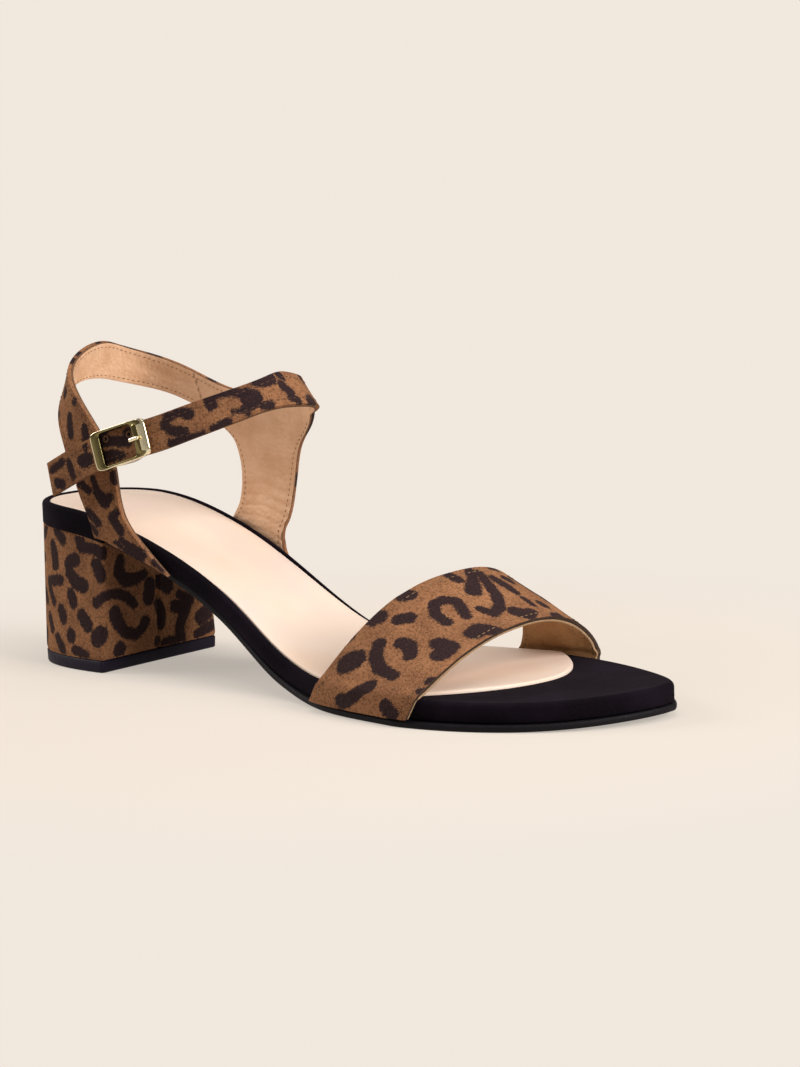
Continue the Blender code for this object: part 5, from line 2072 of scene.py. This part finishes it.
    def build_tab(self) -> None:
        """Flat suede tab that holds the centre bar, sewn on the outer quarter behind it."""
        width, thickness = self.tab_size
        under = self.over + self.last.seam_gap + self.centre_bar + thickness / 2
        front = self.middle - self.outward * under + self.along * self.centre_bar
        beside = self.over + thickness / 2
        rear = self.last.wall(np.array(self.tab_s), np.array(self.tab_z), beside)
        length = float(np.linalg.norm(front - rear))
        ahead = unit(front - rear)
        side = unit(np.cross(self.outward, ahead))
        bm = marked_mesh(Mark.SPOT)
        corner = np.array((length, width, thickness)) / 2
        self.add_bar(bm, -corner, corner, self.tab_corner, self.tab_soft)
        layer = bm.verts.layers.float[Mark.SPOT.value]
        for vert in bm.verts:
            vert[layer] = FAR
        axes = self.axes((front + rear) / 2, ahead, side, np.cross(ahead, side))
        bmesh.ops.transform(bm, matrix=axes, verts=bm.verts)
        make_piece("tab", bm, Slot.SPOTTED_SUEDE, [Finish.PRINTED], ["buckle_tab"])


# Studio


@dataclass
class Studio:
    """Pale sweep, soft lamps and the camera at the photograph's viewing angle."""

    backdrop: str = "#f1e8de"
    azimuth: float = 40.368
    elevation: float = 8.5855
    roll: float = -2.078
    distance: float = 906.118
    target: Place = (120.0, 0.0, 40.0)
    target_pixel: Pair = (337.48, 556.27)
    image: tuple[int, int] = (800, 1067)
    lens: float = 98.56
    sensor: float = 36.0
    view_depth: float = 40.0
    floor_radius: float = 6.0
    glow_start: float = 0.10
    glow_end: float = 0.26
    floor_glow: float = 0.5
    floor_bounce: float = 0.35
    floor_albedo: str = "#dcd3c8"
    dome_radius: float = 9.0
    lamp_colour: str = "#fffaf4"
    lamp_aim: Place = (0.0, 0.0, 0.04)
    room_light: float = 0.3
    # Name, place and size in metres, and power in watts
    lamps: tuple = (
        ("left panel", (-1.3, -0.6, 0.75), 0.8, 13.0),
        ("front panel", (1.4, 0.05, 0.75), 0.8, 26.0),
        ("top panel", (0.15, -0.05, 1.5), 1.4, 10.5),
    )

    def build(self) -> None:
        """Build the camera, the sweep and the lamps."""
        self.build_camera()
        self.build_floor()
        self.build_backdrop()
        self.build_lamps()
        bpy.context.scene.view_settings.view_transform = "Standard"

    def build_camera(self) -> None:
        """Aim the camera and shift its frame as the photograph's is."""
        az, el, roll = (math.radians(angle) for angle in (self.azimuth, self.elevation, self.roll))
        back = Vector((math.cos(el) * math.sin(az), -math.cos(el) * math.cos(az), math.sin(el)))
        level = Vector((math.cos(az), math.sin(az), 0.0))
        upright = back.cross(level)
        right = level * math.cos(roll) + upright * math.sin(roll)
        up = upright * math.cos(roll) - level * math.sin(roll)
        data = bpy.data.cameras.new("camera")
        data.lens = self.lens
        data.sensor_width = self.sensor
        data.shift_x = (self.image[0] / 2 - self.target_pixel[0]) / self.image[1]
        data.shift_y = (self.target_pixel[1] - self.image[1] / 2) / self.image[1]
        data.clip_end = self.view_depth
        camera = bpy.data.objects.new("camera", data)
        place = Vector(in_frame(np.array(self.target))) + back * self.distance * MM
        camera.matrix_world = Matrix.Translation(place) @ Matrix((right, up, back)).transposed().to_4x4()
        bpy.context.scene.collection.objects.link(camera)
        bpy.context.scene.camera = camera

    def set_stage(self, name: str, bm: Mesh) -> tuple[bpy.types.Object, bpy.types.NodeTree]:
        """Turn a mesh into a part of the paper stage.

        Args:
            name: Name of the object.
            bm: Finished mesh, freed here.

        Returns:
            The new object and the empty node tree of its paper.
        """
        mesh = bpy.data.meshes.new(name)
        bm.to_mesh(mesh)
        bm.free()
        paper = bpy.data.materials.new(f"paper_{name}")
        paper.use_nodes = True
        paper.node_tree.nodes.clear()
        mesh.materials.append(paper)
        stage = bpy.data.objects.new(name, mesh)
        bpy.context.scene.collection.objects.link(stage)
        return stage, paper.node_tree

    def build_floor(self) -> None:
        """Round paper floor that fades into the backdrop away from the shoe and throws little light back."""
        bm = bmesh.new()
        bmesh.ops.create_circle(bm, cap_ends=True, segments=96, radius=self.floor_radius)
        _, tree = self.set_stage("floor", bm)
        place = add_node(tree, "ShaderNodeTexCoord").outputs["Object"]
        away = add_node(tree, "ShaderNodeVectorMath", {0: place}, operation="LENGTH").outputs["Value"]
        share = add_node(
            tree, "ShaderNodeMapRange",
            {"Value": away, "From Min": self.glow_start, "From Max": self.glow_end, "To Min": self.floor_glow,
             "To Max": 1.0}, interpolation_type="SMOOTHSTEP").outputs[0]
        paper = add_node(tree, "ShaderNodeBsdfDiffuse", {"Color": linear(self.floor_albedo)}).outputs[0]
        bounced = add_node(tree, "ShaderNodeLightPath").outputs["Is Diffuse Ray"]
        strength = add_node(
            tree, "ShaderNodeMath", {0: bounced, 1: self.floor_bounce - 1.0, 2: 1.0},
            operation="MULTIPLY_ADD").outputs[0]
        glow = add_node(
            tree, "ShaderNodeEmission", {"Color": linear(self.backdrop), "Strength": strength}).outputs[0]
        mixed = add_node(tree, "ShaderNodeMixShader", {0: share, 1: paper, 2: glow}).outputs[0]
        add_node(tree, "ShaderNodeOutputMaterial", {"Surface": mixed})

    def build_backdrop(self) -> None:
        """Plain pale dome that only the camera sees."""
        bm = bmesh.new()
        bmesh.ops.create_uvsphere(bm, u_segments=48, v_segments=24, radius=self.dome_radius)
        bmesh.ops.reverse_faces(bm, faces=bm.faces)
        dome, tree = self.set_stage("backdrop", bm)
        glow = add_node(tree, "ShaderNodeEmission", {"Color": linear(self.backdrop)}).outputs[0]
        add_node(tree, "ShaderNodeOutputMaterial", {"Surface": glow})
        dome.visible_diffuse = False
        dome.visible_glossy = False
        dome.visible_transmission = False
        dome.visible_shadow = False

    def build_lamps(self) -> None:
        """Panels in front of the toe, at the left behind the heel and overhead, and a dim room."""
        for name, place, size, power in self.lamps:
            data = bpy.data.lights.new(name, "AREA")
            data.size = size
            data.energy = power
            data.color = linear(self.lamp_colour)[:3]
            lamp = bpy.data.objects.new(name, data)
            turn = (Vector(self.lamp_aim) - Vector(place)).to_track_quat("-Z", "Y")
            lamp.matrix_world = Matrix.Translation(place) @ turn.to_matrix().to_4x4()
            bpy.context.scene.collection.objects.link(lamp)
        world = bpy.data.worlds.new("room")
        world.use_nodes = True
        shader = world.node_tree.nodes["Background"]
        shader.inputs["Color"].default_value = linear(self.backdrop)
        shader.inputs["Strength"].default_value = self.room_light
        bpy.context.scene.world = world


def main() -> None:
    """Load the frame, build every sub-assembly in order and log the count of solids."""
    logging.basicConfig(level=logging.INFO, format="%(name)s: %(message)s")
    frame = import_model()
    LOG.info("%d solids in the frame", len(frame["nodes"]))
    last = Last()
    Studio().build()
    for kind in (Sole, Heel, ToeStrap, AnkleWall, Buckle):
        kind(last).build()
    bpy.context.view_layer.update()


if __name__ == "__main__":
    main()
